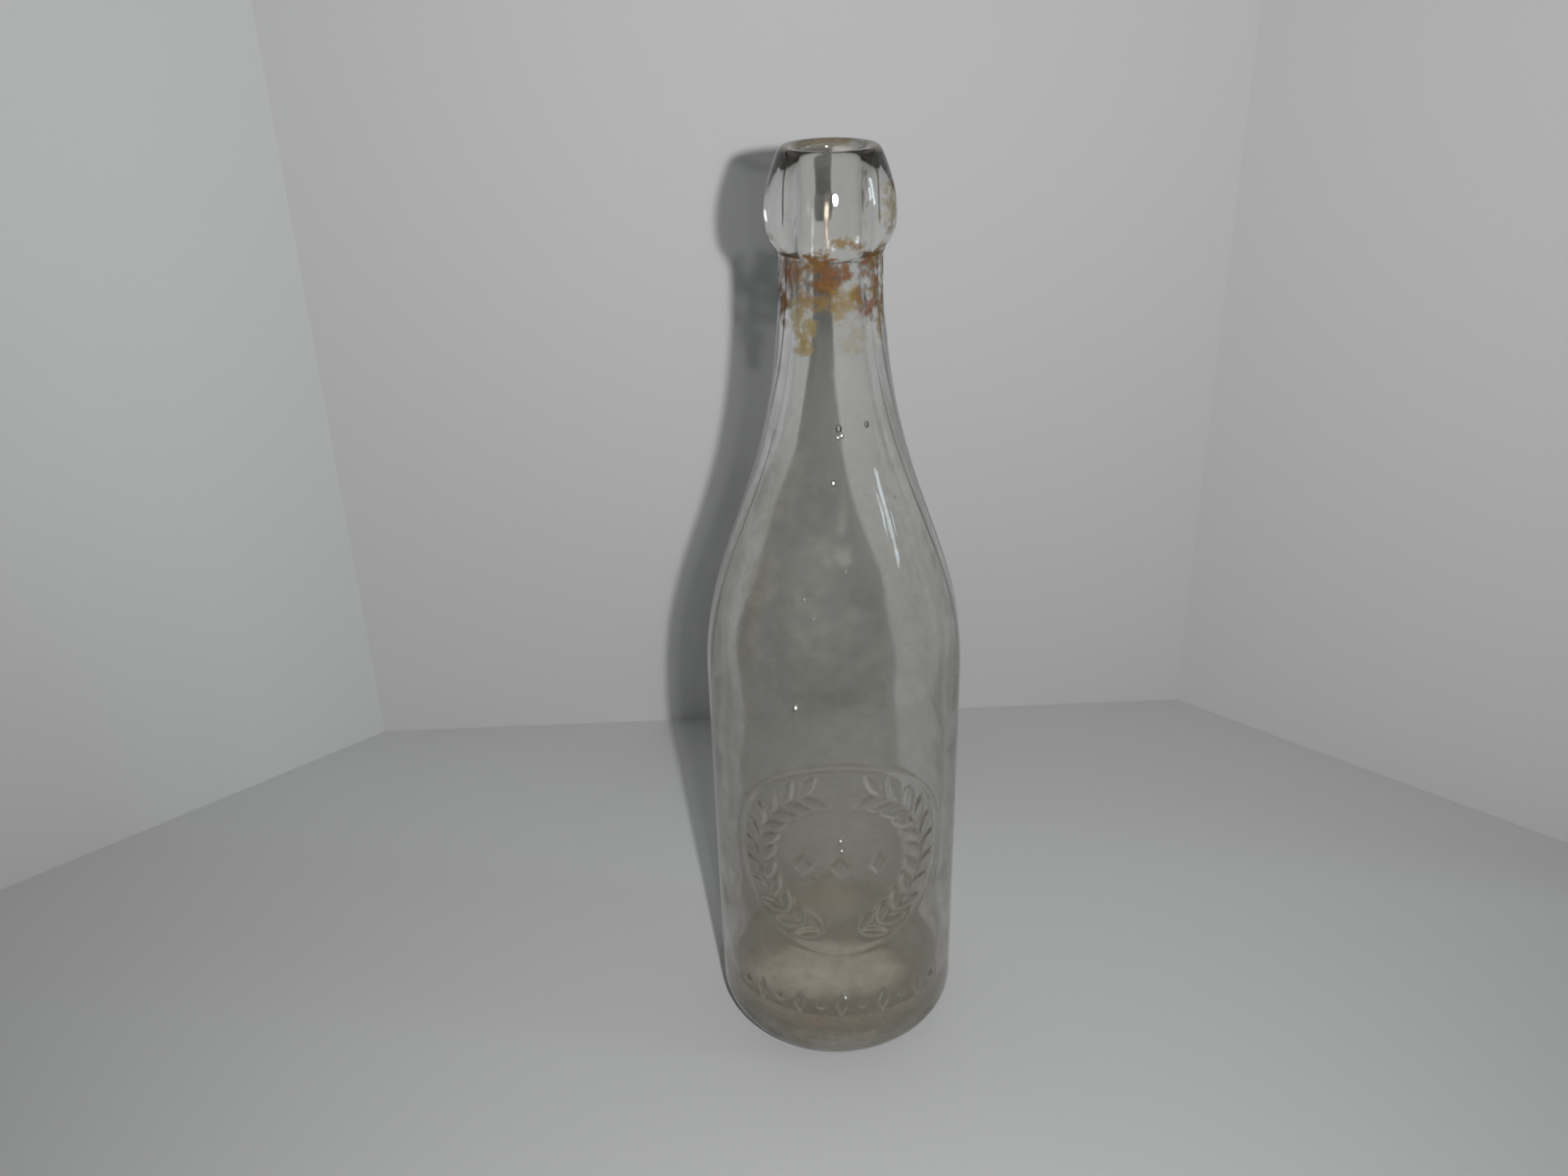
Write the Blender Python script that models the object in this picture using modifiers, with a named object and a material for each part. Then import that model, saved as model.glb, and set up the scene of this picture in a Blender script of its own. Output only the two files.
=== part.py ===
"""Blob top beer bottle in clear glass: a mould-blown body and the lip laid round the end of its neck.

Metres, +Z up. The origin is the centre of the foot, on the surface that the bottle stands on.
The front, with its round plate, faces -Y, and the two mould seams run up the sides at -X and +X.
A profile is a list of (radius, height) points, which is then turned about Z.
"""

import math

import bmesh
import bpy

# Overall
OVERALL_HEIGHT = 0.2350
BODY_RADIUS = 0.0321
TURNED_SIDES = 64

# Foot, heel and base
HEEL_RADIUS = 0.0090
FOOT_RING_WIDTH = 0.0026
PUSH_UP_DEPTH = 0.0038
BASE_THICKNESS = 0.0040
FLOOR_CROWN = 0.0020
INNER_HEEL_RADIUS = 0.0085

# Body wall and shoulder
BODY_WALL = 0.0034
SHOULDER_START_HEIGHT = 0.1051
SHOULDER_FULLNESS_SHARE = 0.374
NECK_DRAW_SHARE = 0.536

# Neck
NECK_RADIUS = 0.0116
NECK_WALL = 0.0044
NECK_IN_LIP = 0.0090
NECK_END_ROUNDING = 0.0012

# Lip: a thick ring of glass with its widest line below the middle
LIP_HEIGHT = 0.0230
LIP_OVERHANG = 0.0030
LIP_WIDEST_HEIGHT = 0.0084
LIP_SEAT_CLEARANCE = 0.0003
LIP_EDGE_WIDTH = 0.0003
LIP_BORE_STEP = 0.00025
LOWER_SWELL_SHARES = (0.22, 0.66)
UPPER_SWELL_SHARES = (0.10, 0.53)
MOUTH_ROUNDING = 0.0012
RIM_LAND_WIDTH = 0.0020
RIM_ROUNDING_WIDTH = 0.0011
RIM_ROUNDING_DROP = 0.0014

# Round plate let into the front of the mould, which leaves a thin raised line
PLATE_RADIUS = 0.0286
PLATE_CENTRE_HEIGHT = 0.0680
PLATE_LINE_HALF_WIDTH = 0.0006
PLATE_LINE_RELIEF = 0.00035
PLATE_LINE_POINTS = 72

# Mould seams
SEAM_WIDTH = 0.0008
SEAM_RELIEF = 0.00025
SEAM_ROOT_DEPTH = 0.0012
SEAM_STOP_BELOW_LIP = 0.0120
SEAM_FADE_LENGTH = 0.0120

# Points along curves
ARC_STEPS = 4
HEEL_STEPS = 6
SHOULDER_STEPS = 14
SWELL_STEPS = 6
BASE_STEPS = 6
SEAM_STEPS = 14
SHARP_ANGLE = math.radians(40)
WELD_DISTANCE = 0.000001

# Glass
GLASS_IOR = 1.52
BODY_GLASS_COLOUR = (0.90, 0.92, 0.90, 1.0)
LIP_GLASS_COLOUR = (0.91, 0.93, 0.91, 1.0)
BODY_GLASS_ROUGHNESS = 0.06
LIP_GLASS_ROUGHNESS = 0.04

# Places that follow from the sizes above
LIP_BASE_HEIGHT = OVERALL_HEIGHT - LIP_HEIGHT
NECK_END_HEIGHT = LIP_BASE_HEIGHT + NECK_IN_LIP
BODY_BORE_RADIUS = BODY_RADIUS - BODY_WALL
NECK_BORE_RADIUS = NECK_RADIUS - NECK_WALL
FOOT_RING_OUTER = BODY_RADIUS - HEEL_RADIUS
FOOT_RING_INNER = FOOT_RING_OUTER - FOOT_RING_WIDTH
FLOOR_EDGE_RADIUS = BODY_BORE_RADIUS - INNER_HEEL_RADIUS
LIP_SEAT_RADIUS = NECK_RADIUS + LIP_SEAT_CLEARANCE
LIP_SEAT_HEIGHT = NECK_END_HEIGHT + LIP_SEAT_CLEARANCE
LIP_EDGE_RADIUS = LIP_SEAT_RADIUS + LIP_EDGE_WIDTH
LIP_RADIUS = NECK_RADIUS + LIP_OVERHANG
LIP_BORE_RADIUS = NECK_BORE_RADIUS + LIP_BORE_STEP
RIM_LAND_INNER = LIP_BORE_RADIUS + MOUTH_ROUNDING
RIM_LAND_OUTER = RIM_LAND_INNER + RIM_LAND_WIDTH
RIM_SHOULDER_RADIUS = RIM_LAND_OUTER + RIM_ROUNDING_WIDTH
RIM_SHOULDER_HEIGHT = OVERALL_HEIGHT - RIM_ROUNDING_DROP


def clear_scene():
    """Remove every object that the scene starts with."""
    for thing in list(bpy.data.objects):
        bpy.data.objects.remove(thing, do_unlink=True)


def new_collection(name):
    """A collection of this name, linked to the scene."""
    collection = bpy.data.collections.new(name)
    bpy.context.scene.collection.children.link(collection)
    return collection


def clear_glass(name, colour, roughness):
    """A clear glass of the given tint and surface."""
    material = bpy.data.materials.new(name)
    material.use_nodes = True
    shader = material.node_tree.nodes["Principled BSDF"]
    shader.inputs["Base Color"].default_value = colour
    shader.inputs["Roughness"].default_value = roughness
    shader.inputs["Metallic"].default_value = 0.0
    shader.inputs["IOR"].default_value = GLASS_IOR
    shader.inputs["Transmission Weight"].default_value = 1.0
    return material


def curve_points(start, start_handle, end_handle, end, steps):
    """Points of a cubic curve from start to end, both included."""
    points = []
    for step in range(steps + 1):
        t = step / steps
        s = 1.0 - t
        weights = (s ** 3, 3 * s * s * t, 3 * s * t * t, t ** 3)
        corners = (start, start_handle, end_handle, end)
        radius = sum(w * corner[0] for w, corner in zip(weights, corners))
        height = sum(w * corner[1] for w, corner in zip(weights, corners))
        points.append((radius, height))
    return points


def arc_points(centre, radius, start_degrees, end_degrees, steps):
    """Points of a round arc in the profile plane, both ends included."""
    points = []
    for step in range(steps + 1):
        angle = math.radians(start_degrees + (end_degrees - start_degrees) * step / steps)
        points.append((centre[0] + radius * math.cos(angle), centre[1] + radius * math.sin(angle)))
    return points


def joined(*stretches):
    """One profile from several stretches, with each shared end kept once."""
    profile = []
    for stretch in stretches:
        for point in stretch:
            if not profile or math.dist(profile[-1], point) > 0.0:
                profile.append(point)
    return profile


def shoulder_curve(body_radius, neck_radius):
    """The ogee from the straight body up to the foot of the lip."""
    rise = LIP_BASE_HEIGHT - SHOULDER_START_HEIGHT
    return curve_points(
        (body_radius, SHOULDER_START_HEIGHT),
        (body_radius, SHOULDER_START_HEIGHT + rise * SHOULDER_FULLNESS_SHARE),
        (neck_radius, LIP_BASE_HEIGHT - rise * NECK_DRAW_SHARE),
        (neck_radius, LIP_BASE_HEIGHT),
        SHOULDER_STEPS,
    )


def heel_curve():
    """The round heel, from the body wall down to the foot ring."""
    return arc_points((FOOT_RING_OUTER, HEEL_RADIUS), HEEL_RADIUS, 0, -90, HEEL_STEPS)


def push_up_curve():
    """The hollow under the base, from the foot ring in to the axis."""
    reach = FOOT_RING_INNER / 2
    return curve_points(
        (FOOT_RING_INNER, 0.0), (reach, 0.0), (reach, PUSH_UP_DEPTH), (0.0, PUSH_UP_DEPTH), BASE_STEPS
    )


def floor_curve():
    """The inside of the base, from its crown on the axis out to the inner heel."""
    reach = FLOOR_EDGE_RADIUS / 2
    crown_height = BASE_THICKNESS + FLOOR_CROWN
    return curve_points(
        (0.0, crown_height), (reach, crown_height), (reach, BASE_THICKNESS),
        (FLOOR_EDGE_RADIUS, BASE_THICKNESS), BASE_STEPS,
    )


def inner_heel_curve():
    """The round corner between the floor and the inside of the body wall."""
    centre = (FLOOR_EDGE_RADIUS, BASE_THICKNESS + INNER_HEEL_RADIUS)
    return arc_points(centre, INNER_HEEL_RADIUS, -90, 0, HEEL_STEPS)


def neck_end_curve():
    """The top of the neck where it was parted from the blowpipe, softened on both edges."""
    height = NECK_END_HEIGHT - NECK_END_ROUNDING
    inner = arc_points((NECK_BORE_RADIUS + NECK_END_ROUNDING, height), NECK_END_ROUNDING, 180, 90, ARC_STEPS)
    outer = arc_points((NECK_RADIUS - NECK_END_ROUNDING, height), NECK_END_ROUNDING, 90, 0, ARC_STEPS)
    return inner + outer


def outer_profile():
    """The outside of the body, from the foot of the lip down to the foot ring."""
    shoulder = shoulder_curve(BODY_RADIUS, NECK_RADIUS)
    return joined(reversed(shoulder), heel_curve())


def outer_radius_at(height):
    """The outside radius of the body at a height."""
    profile = outer_profile()
    for (upper_radius, upper), (lower_radius, lower) in zip(profile, profile[1:]):
        if lower <= height <= upper and upper > lower:
            share = (height - lower) / (upper - lower)
            return lower_radius + share * (upper_radius - lower_radius)
    return NECK_RADIUS


def turned(name, profile, collection, material):
    """A round solid: the profile, which ends on the axis or closes on itself, turned about Z."""
    mesh = bpy.data.meshes.new(name)
    form = bmesh.new()
    corners = [form.verts.new((radius, 0.0, height)) for radius, height in profile]
    for upper, lower in zip(corners, corners[1:]):
        form.edges.new((upper, lower))
    if profile[0][0] > 0.0:
        form.edges.new((corners[-1], corners[0]))
    form.to_mesh(mesh)
    form.free()
    solid = bpy.data.objects.new(name, mesh)
    collection.objects.link(solid)
    screw = solid.modifiers.new("turn about the axis", "SCREW")
    screw.axis = "Z"
    screw.angle = math.tau
    screw.steps = TURNED_SIDES
    screw.render_steps = TURNED_SIDES
    screw.use_merge_vertices = True
    screw.merge_threshold = WELD_DISTANCE
    screw.use_smooth_shade = True
    mesh.materials.append(material)
    return solid


def as_mesh(curve_object, collection):
    """The curve's solid as a mesh object with its caps welded on. The curve is removed."""
    bpy.context.view_layer.update()
    graph = bpy.context.evaluated_depsgraph_get()
    name = curve_object.name
    mesh = bpy.data.meshes.new_from_object(curve_object.evaluated_get(graph))
    form = bmesh.new()
    form.from_mesh(mesh)
    bmesh.ops.remove_doubles(form, verts=form.verts, dist=WELD_DISTANCE)
    bmesh.ops.recalc_face_normals(form, faces=form.faces)
    form.to_mesh(mesh)
    form.free()
    place = curve_object.matrix_world.copy()
    bpy.data.objects.remove(curve_object, do_unlink=True)
    solid = bpy.data.objects.new(name, mesh)
    solid.matrix_world = place
    solid.hide_render = True
    solid.display_type = "WIRE"
    collection.objects.link(solid)
    return solid


def closed_curve(name, points, collection):
    """A closed curve object of straight stretches through the points."""
    curve = bpy.data.curves.new(name, "CURVE")
    spline = curve.splines.new("POLY")
    spline.points.add(len(points) - 1)
    for corner, point in zip(spline.points, points):
        corner.co = (*point, 1.0)
    spline.use_cyclic_u = True
    line = bpy.data.objects.new(name, curve)
    collection.objects.link(line)
    return line


def plate_line(collection):
    """The raised line round the plate: a bead that follows the body and stands a little out of it."""
    points = []
    for step in range(PLATE_LINE_POINTS):
        turn = math.tau * step / PLATE_LINE_POINTS
        height = PLATE_CENTRE_HEIGHT + PLATE_RADIUS * math.sin(turn)
        surface_radius = outer_radius_at(height)
        round_the_body = PLATE_RADIUS * math.cos(turn) / BODY_RADIUS
        centre_radius = surface_radius + PLATE_LINE_RELIEF - PLATE_LINE_HALF_WIDTH
        points.append(
            (centre_radius * math.sin(round_the_body), -centre_radius * math.cos(round_the_body), height)
        )
    line = closed_curve("plate_line", points, collection)
    line.data.dimensions = "3D"
    line.data.bevel_depth = PLATE_LINE_HALF_WIDTH
    line.data.bevel_resolution = 2
    return as_mesh(line, collection)


def seam_relief_at(height, foot, top):
    """How far the seam stands out at a height: it fades into the glass at both ends."""
    from_end = min(height - foot, top - height)
    share = min(1.0, from_end / SEAM_FADE_LENGTH)
    return SEAM_RELIEF * (2.0 * share - 1.0)


def mould_seam(name, turn, collection):
    """One seam: a thin fin that follows the outline of the body from the heel to the neck."""
    foot = HEEL_RADIUS
    top = LIP_BASE_HEIGHT - SEAM_STOP_BELOW_LIP
    outline = []
    for step in range(SEAM_STEPS + 1):
        height = foot + (top - foot) * step / SEAM_STEPS
        outline.append((outer_radius_at(height) + seam_relief_at(height, foot, top), height, 0.0))
    for radius, height, _ in reversed(outline[:]):
        outline.append((radius - SEAM_ROOT_DEPTH, height, 0.0))
    fin = closed_curve(name, outline, collection)
    fin.data.dimensions = "2D"
    fin.data.fill_mode = "BOTH"
    fin.data.extrude = SEAM_WIDTH / 2
    fin.rotation_euler = (math.pi / 2, 0.0, turn)
    return as_mesh(fin, collection)


def join_on(solid, addition):
    """Fuse a raised detail with the solid that carries it."""
    union = solid.modifiers.new(addition.name, "BOOLEAN")
    union.operation = "UNION"
    union.solver = "EXACT"
    union.object = addition


def build_body(collection, additions, material):
    """The blown bottle: foot, heel, straight body, shoulder and neck, with its plate line and seams."""
    profile = joined(
        floor_curve(),
        inner_heel_curve(),
        shoulder_curve(BODY_BORE_RADIUS, NECK_BORE_RADIUS),
        neck_end_curve(),
        outer_profile(),
        push_up_curve(),
    )
    body = turned("bottle_body", profile, collection, material)
    join_on(body, plate_line(additions))
    for name, turn in (("right_seam", 0.0), ("left_seam", math.pi)):
        join_on(body, mould_seam(name, turn, additions))
    return body


def lip_outside():
    """The swollen outside of the lip, from its rim down to its lower edge."""
    lower_rise = LIP_WIDEST_HEIGHT
    upper_rise = RIM_SHOULDER_HEIGHT - LIP_BASE_HEIGHT - LIP_WIDEST_HEIGHT
    widest = (LIP_RADIUS, LIP_BASE_HEIGHT + LIP_WIDEST_HEIGHT)
    edge = (LIP_EDGE_RADIUS, LIP_BASE_HEIGHT)
    rim = (RIM_SHOULDER_RADIUS, RIM_SHOULDER_HEIGHT)
    upper = curve_points(
        rim,
        (LIP_RADIUS, rim[1] - upper_rise * UPPER_SWELL_SHARES[1]),
        (LIP_RADIUS, widest[1] + upper_rise * UPPER_SWELL_SHARES[0]),
        widest,
        SWELL_STEPS,
    )
    lower = curve_points(
        widest,
        (LIP_RADIUS, widest[1] - lower_rise * LOWER_SWELL_SHARES[1]),
        (LIP_EDGE_RADIUS, edge[1] + lower_rise * LOWER_SWELL_SHARES[0]),
        edge,
        SWELL_STEPS,
    )
    return upper + lower


def lip_rim():
    """The top of the lip: rounded into the mouth, a flat land, and rounded over to the outside."""
    mouth = arc_points((RIM_LAND_INNER, OVERALL_HEIGHT - MOUTH_ROUNDING), MOUTH_ROUNDING, 180, 90, ARC_STEPS)
    outer = curve_points(
        (RIM_LAND_OUTER, OVERALL_HEIGHT),
        (RIM_LAND_OUTER + RIM_ROUNDING_WIDTH / 2, OVERALL_HEIGHT),
        (RIM_SHOULDER_RADIUS - RIM_ROUNDING_WIDTH / 4, RIM_SHOULDER_HEIGHT + RIM_ROUNDING_DROP / 2),
        (RIM_SHOULDER_RADIUS, RIM_SHOULDER_HEIGHT),
        ARC_STEPS,
    )
    return mouth + outer


def lip_seat():
    """The socket under the lip that the end of the neck stands in, the same clearance all round."""
    rounding = NECK_END_ROUNDING + LIP_SEAT_CLEARANCE
    centre = (NECK_RADIUS - NECK_END_ROUNDING, NECK_END_HEIGHT - NECK_END_ROUNDING)
    return [(LIP_SEAT_RADIUS, LIP_BASE_HEIGHT)] + arc_points(centre, rounding, 0, 90, ARC_STEPS)


def build_lip(collection, material):
    """The lip: a ring of glass laid round the end of the neck, with the bore through it."""
    profile = joined(
        [(LIP_BORE_RADIUS, LIP_SEAT_HEIGHT)],
        lip_rim(),
        lip_outside(),
        lip_seat(),
    )
    return turned("blob_lip", profile, collection, material)


def shade(solid):
    """Smooth the turned surfaces and keep the real corners sharp."""
    solid.data.shade_smooth()
    solid.data.set_sharp_from_angle(angle=SHARP_ANGLE)


def main():
    """Build the bottle."""
    clear_scene()
    bottle = new_collection("blob_top_beer_bottle")
    additions = new_collection("raised_details")
    body_glass = clear_glass("body_glass", BODY_GLASS_COLOUR, BODY_GLASS_ROUGHNESS)
    lip_glass = clear_glass("lip_glass", LIP_GLASS_COLOUR, LIP_GLASS_ROUGHNESS)
    for solid in (build_body(bottle, additions, body_glass), build_lip(bottle, lip_glass)):
        shade(solid)


main()
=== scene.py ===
"""Looks of the blob top beer bottle: clear blown glass, wire rust, dried residue, floor and light.

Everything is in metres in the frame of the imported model: +Z up, the foot on Z = 0, the front at -Y.
A profile is an array of (radius, height) rows. A turn is an angle round the bottle from the front,
positive towards +X, and a round_arc is such an angle times the body radius.
"""

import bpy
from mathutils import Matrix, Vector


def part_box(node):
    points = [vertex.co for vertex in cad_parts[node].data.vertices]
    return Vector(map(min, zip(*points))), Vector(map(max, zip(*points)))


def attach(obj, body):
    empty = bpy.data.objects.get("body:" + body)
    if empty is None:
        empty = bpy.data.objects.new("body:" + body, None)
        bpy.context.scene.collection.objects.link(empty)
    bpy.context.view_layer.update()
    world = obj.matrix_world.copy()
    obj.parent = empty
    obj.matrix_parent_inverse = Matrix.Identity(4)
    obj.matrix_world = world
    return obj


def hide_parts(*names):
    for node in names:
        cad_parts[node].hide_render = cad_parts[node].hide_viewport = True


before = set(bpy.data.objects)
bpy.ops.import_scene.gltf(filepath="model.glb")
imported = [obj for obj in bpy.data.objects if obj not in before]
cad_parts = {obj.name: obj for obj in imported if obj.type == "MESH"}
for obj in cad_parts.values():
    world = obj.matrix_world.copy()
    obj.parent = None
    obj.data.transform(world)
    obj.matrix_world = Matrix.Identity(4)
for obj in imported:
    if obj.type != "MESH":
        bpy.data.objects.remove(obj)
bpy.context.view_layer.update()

import logging
import math
from dataclasses import dataclass, field
from enum import Enum, IntEnum
from typing import Any, Callable, Sequence

import bmesh
import bpy
import numpy as np
from mathutils import Matrix, Vector, noise

LOG = logging.getLogger("bottle")
MM = 0.001
RESPACING_STEPS = 6000
SHARP_EDGE = math.radians(50)
TRANSPARENT_BOUNCES = 32
Points = np.ndarray
Colour = tuple[float, float, float]
Inputs = dict[str | int, Any]


class Slot(Enum):
    """The record's material slots."""

    BODY = "body_glass"
    LIP = "lip_glass"
    RUST = "rust_stain"
    RESIDUE = "dried_residue"


class Surface(IntEnum):
    """Which surface of a glass form a face lies on, as its place among the form's materials."""

    SKIN = 0
    JOINT = 1
    BORE = 2
    FLOOR = 3


def cubic(start: Sequence[float], handle: Sequence[float], other: Sequence[float],
          end: Sequence[float], steps: int) -> Points:
    """Points of a cubic curve in the profile plane.

    Args:
        start: First point, as (radius, height).
        handle: Handle of the first point.
        other: Handle of the last point.
        end: Last point.
        steps: Number of stretches.

    Returns:
        steps + 1 rows of (radius, height), both ends included.
    """
    t = np.linspace(0.0, 1.0, steps + 1)[:, None]
    s = 1.0 - t
    shares = (s**3, 3 * s * s * t, 3 * s * t * t, t**3)
    corners = (np.array(corner, float) for corner in (start, handle, other, end))
    return sum(share * corner for share, corner in zip(shares, corners))


def arc(centre: Sequence[float], radius: float, first: float, last: float, steps: int) -> Points:
    """Points of a round arc in the profile plane.

    Args:
        centre: Centre of the arc, as (radius, height).
        radius: Radius of the arc.
        first: Angle of the first point in degrees, from the outward direction.
        last: Angle of the last point in degrees.
        steps: Number of stretches.

    Returns:
        steps + 1 rows of (radius, height).
    """
    angles = np.radians(np.linspace(first, last, steps + 1))
    return np.stack([centre[0] + radius * np.cos(angles), centre[1] + radius * np.sin(angles)], 1)


def eased(share: Any) -> Any:
    """A share from 0 to 1, or an array of them, with a soft start and a soft end."""
    return share * share * (3.0 - 2.0 * share)


def smooth_step(low: float, high: float, value: float) -> float:
    """A smooth rise from 0 at low to 1 at high."""
    return eased(min(1.0, max(0.0, (value - low) / (high - low))))


def respaced(profile: Points, spacing: Callable[[Points], Points]) -> Points:
    """The same line with its points at a spacing that changes along it.

    Args:
        profile: Rows of (radius, height).
        spacing: Gives the wanted distance between points at each row.

    Returns:
        New rows of (radius, height) along the same line, with its two ends kept.
    """
    steps = np.linalg.norm(np.diff(profile, axis=0), axis=1)
    along = np.concatenate([[0.0], np.cumsum(steps)])
    fine = np.linspace(0.0, along[-1], RESPACING_STEPS)
    rows = np.stack([np.interp(fine, along, profile[:, side]) for side in (0, 1)], 1)
    density = np.concatenate([[0.0], np.cumsum(np.diff(fine) / spacing(rows)[1:])])
    count = max(2, int(math.ceil(density[-1])))
    at = np.interp(np.linspace(0.0, density[-1], count + 1), density, fine)
    return np.stack([np.interp(at, fine, rows[:, side]) for side in (0, 1)], 1)


def evenly(distance: float) -> Callable[[Points], Points]:
    """A spacing for respaced that is the same all along the line."""
    return lambda rows: np.full(len(rows), distance)


def outward(line: Points) -> Points:
    """Directions of length 1 across a profile: away from the axis where the profile climbs."""
    ahead = np.gradient(line, axis=0)
    across = np.stack([ahead[:, 1], -ahead[:, 0]], 1)
    return across / np.linalg.norm(across, axis=1)[:, None]


def point_at(radius: float, turn: float, height: float) -> Vector:
    """The point at this distance from the axis, angle from the front and height."""
    return Vector((radius * math.sin(turn), -radius * math.cos(turn), height))


@dataclass
class BottleOutline:
    """Sizes of the bottle as in the solids, but for a rounder rim.

    The overall ones are read from the frame.
    """

    seam_relief: float = 0.25 * MM
    heel_radius: float = 9.0 * MM
    foot_ring_width: float = 2.6 * MM
    push_up_depth: float = 3.8 * MM
    base_thickness: float = 4.0 * MM
    floor_crown: float = 2.0 * MM
    inner_heel_radius: float = 8.5 * MM
    body_wall: float = 3.4 * MM
    shoulder_start: float = 105.1 * MM
    shoulder_fullness_share: float = 0.374
    neck_draw_share: float = 0.536
    neck_wall: float = 4.4 * MM
    neck_end_rounding: float = 1.2 * MM
    lip_overhang: float = 3.0 * MM
    lip_widest_height: float = 8.4 * MM
    lip_edge_width: float = 0.15 * MM
    lip_bore_step: float = 0.25 * MM
    mouth_rounding: float = 1.7 * MM
    rim_land_width: float = 0.8 * MM
    rim_rounding_width: float = 1.8 * MM
    rim_rounding_drop: float = 1.9 * MM
    lower_swell_shares: tuple[float, float] = (0.22, 0.66)
    upper_swell_shares: tuple[float, float] = (0.10, 0.53)
    joint_gap: float = 0.008 * MM
    shoulder_steps: int = 120
    base_steps: int = 40
    floor_steps: int = 30
    heel_steps: int = 24
    neck_end_steps: int = 8
    rim_steps: int = 10
    swell_steps: int = 40
    tuck_steps: int = 30
    lip_bore_steps: int = 12

    def __post_init__(self) -> None:
        """Read the overall sizes from the frame."""
        _, body_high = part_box("bottle_body")
        lip_low, lip_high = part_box("blob_lip")
        self.height = lip_high.z
        self.body_radius = body_high.x - self.seam_relief
        self.lip_base = lip_low.z
        self.neck_end = body_high.z
        self.lip_radius = lip_high.x
        self.neck_radius = self.lip_radius - self.lip_overhang
        self.neck_bore = self.neck_radius - self.neck_wall
        self.body_bore = self.body_radius - self.body_wall
        self.lip_bore = self.neck_bore + self.lip_bore_step
        self.foot_ring_outer = self.body_radius - self.heel_radius
        self.foot_ring_inner = self.foot_ring_outer - self.foot_ring_width

    def shoulder(self, body_radius: float, neck_radius: float) -> Points:
        """The ogee from the straight body up to the foot of the lip."""
        rise = self.lip_base - self.shoulder_start
        return cubic(
            (body_radius, self.shoulder_start),
            (body_radius, self.shoulder_start + rise * self.shoulder_fullness_share),
            (neck_radius, self.lip_base - rise * self.neck_draw_share),
            (neck_radius, self.lip_base),
            self.shoulder_steps,
        )

    def outer_wall(self) -> Points:
        """The ogee on the outside."""
        return self.shoulder(self.body_radius, self.neck_radius)

    def inner_wall(self) -> Points:
        """The ogee on the inside."""
        return self.shoulder(self.body_bore, self.neck_bore)

    def outside(self) -> Points:
        """The outside of the body, from the centre of the base up to the foot of the lip."""
        reach = self.foot_ring_inner / 2
        hollow = cubic(
            (0.0, self.push_up_depth), (reach, self.push_up_depth),
            (reach, 0.0), (self.foot_ring_inner, 0.0), self.base_steps,
        )
        centre = (self.foot_ring_outer, self.heel_radius)
        heel = arc(centre, self.heel_radius, -90, 0, self.heel_steps)
        return np.concatenate([hollow, heel, self.outer_wall()])

    def neck_top(self) -> Points:
        """The end of the neck that is melted into the lip, from the foot of the lip to its bore."""
        rounding = self.neck_end_rounding
        foot = np.array([[self.neck_radius, self.lip_base]])
        centre = (self.neck_radius - rounding, self.neck_end - rounding)
        outer = arc(centre, rounding, 0, 90, self.neck_end_steps)
        return np.concatenate([foot, outer, np.array([[self.neck_bore, self.neck_end]])])

    def inside(self) -> Points:
        """The inside of the body, from the end of the neck down to the centre of the floor."""
        edge = self.body_bore - self.inner_heel_radius
        reach = edge / 2
        crown = self.base_thickness + self.floor_crown
        centre = (edge, self.base_thickness + self.inner_heel_radius)
        corner = arc(centre, self.inner_heel_radius, 0, -90, self.heel_steps)
        floor = cubic(
            (edge, self.base_thickness), (reach, self.base_thickness),
            (reach, crown), (0.0, crown), self.floor_steps,
        )
        end = np.array([[self.neck_bore, self.neck_end]])
        return np.concatenate([end, self.inner_wall()[::-1], corner, floor])

    def lip_seat(self) -> Points:
        """The socket under the lip that the neck stands in, from its foot up to the bore."""
        rounding = self.neck_end_rounding + self.joint_gap
        inset = self.neck_end_rounding
        centre = (self.neck_radius - inset, self.neck_end - inset)
        foot = np.array([[self.neck_radius + self.joint_gap, self.lip_base]])
        top = np.array([[self.neck_bore, self.neck_end + self.joint_gap]])
        return np.concatenate([foot, arc(centre, rounding, 0, 90, self.neck_end_steps), top])

    def lip_skin(self) -> Points:
        """The free surface of the lip, from its bore over the rim down to its foot."""
        land_inner = self.lip_bore + self.mouth_rounding
        land_outer = land_inner + self.rim_land_width
        rim = (land_outer + self.rim_rounding_width, self.height - self.rim_rounding_drop)
        widest = (self.lip_radius, self.lip_base + self.lip_widest_height)
        foot = (self.neck_radius + self.lip_edge_width, self.lip_base)
        upper, lower = rim[1] - widest[1], self.lip_widest_height
        centre = (land_inner, self.height - self.mouth_rounding)
        mouth = arc(centre, self.mouth_rounding, 180, 90, self.rim_steps)
        over = cubic(
            (land_outer, self.height),
            (land_outer + self.rim_rounding_width / 2, self.height),
            (rim[0] - self.rim_rounding_width / 4, rim[1] + self.rim_rounding_drop / 2),
            rim, self.rim_steps,
        )
        swell = cubic(
            rim,
            (self.lip_radius, rim[1] - upper * self.upper_swell_shares[1]),
            (self.lip_radius, widest[1] + upper * self.upper_swell_shares[0]),
            widest, self.swell_steps,
        )
        tuck = cubic(
            widest,
            (self.lip_radius, widest[1] - lower * self.lower_swell_shares[1]),
            (foot[0], foot[1] + lower * self.lower_swell_shares[0]),
            foot, self.tuck_steps,
        )
        return np.concatenate([mouth, over, swell, tuck])

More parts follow.
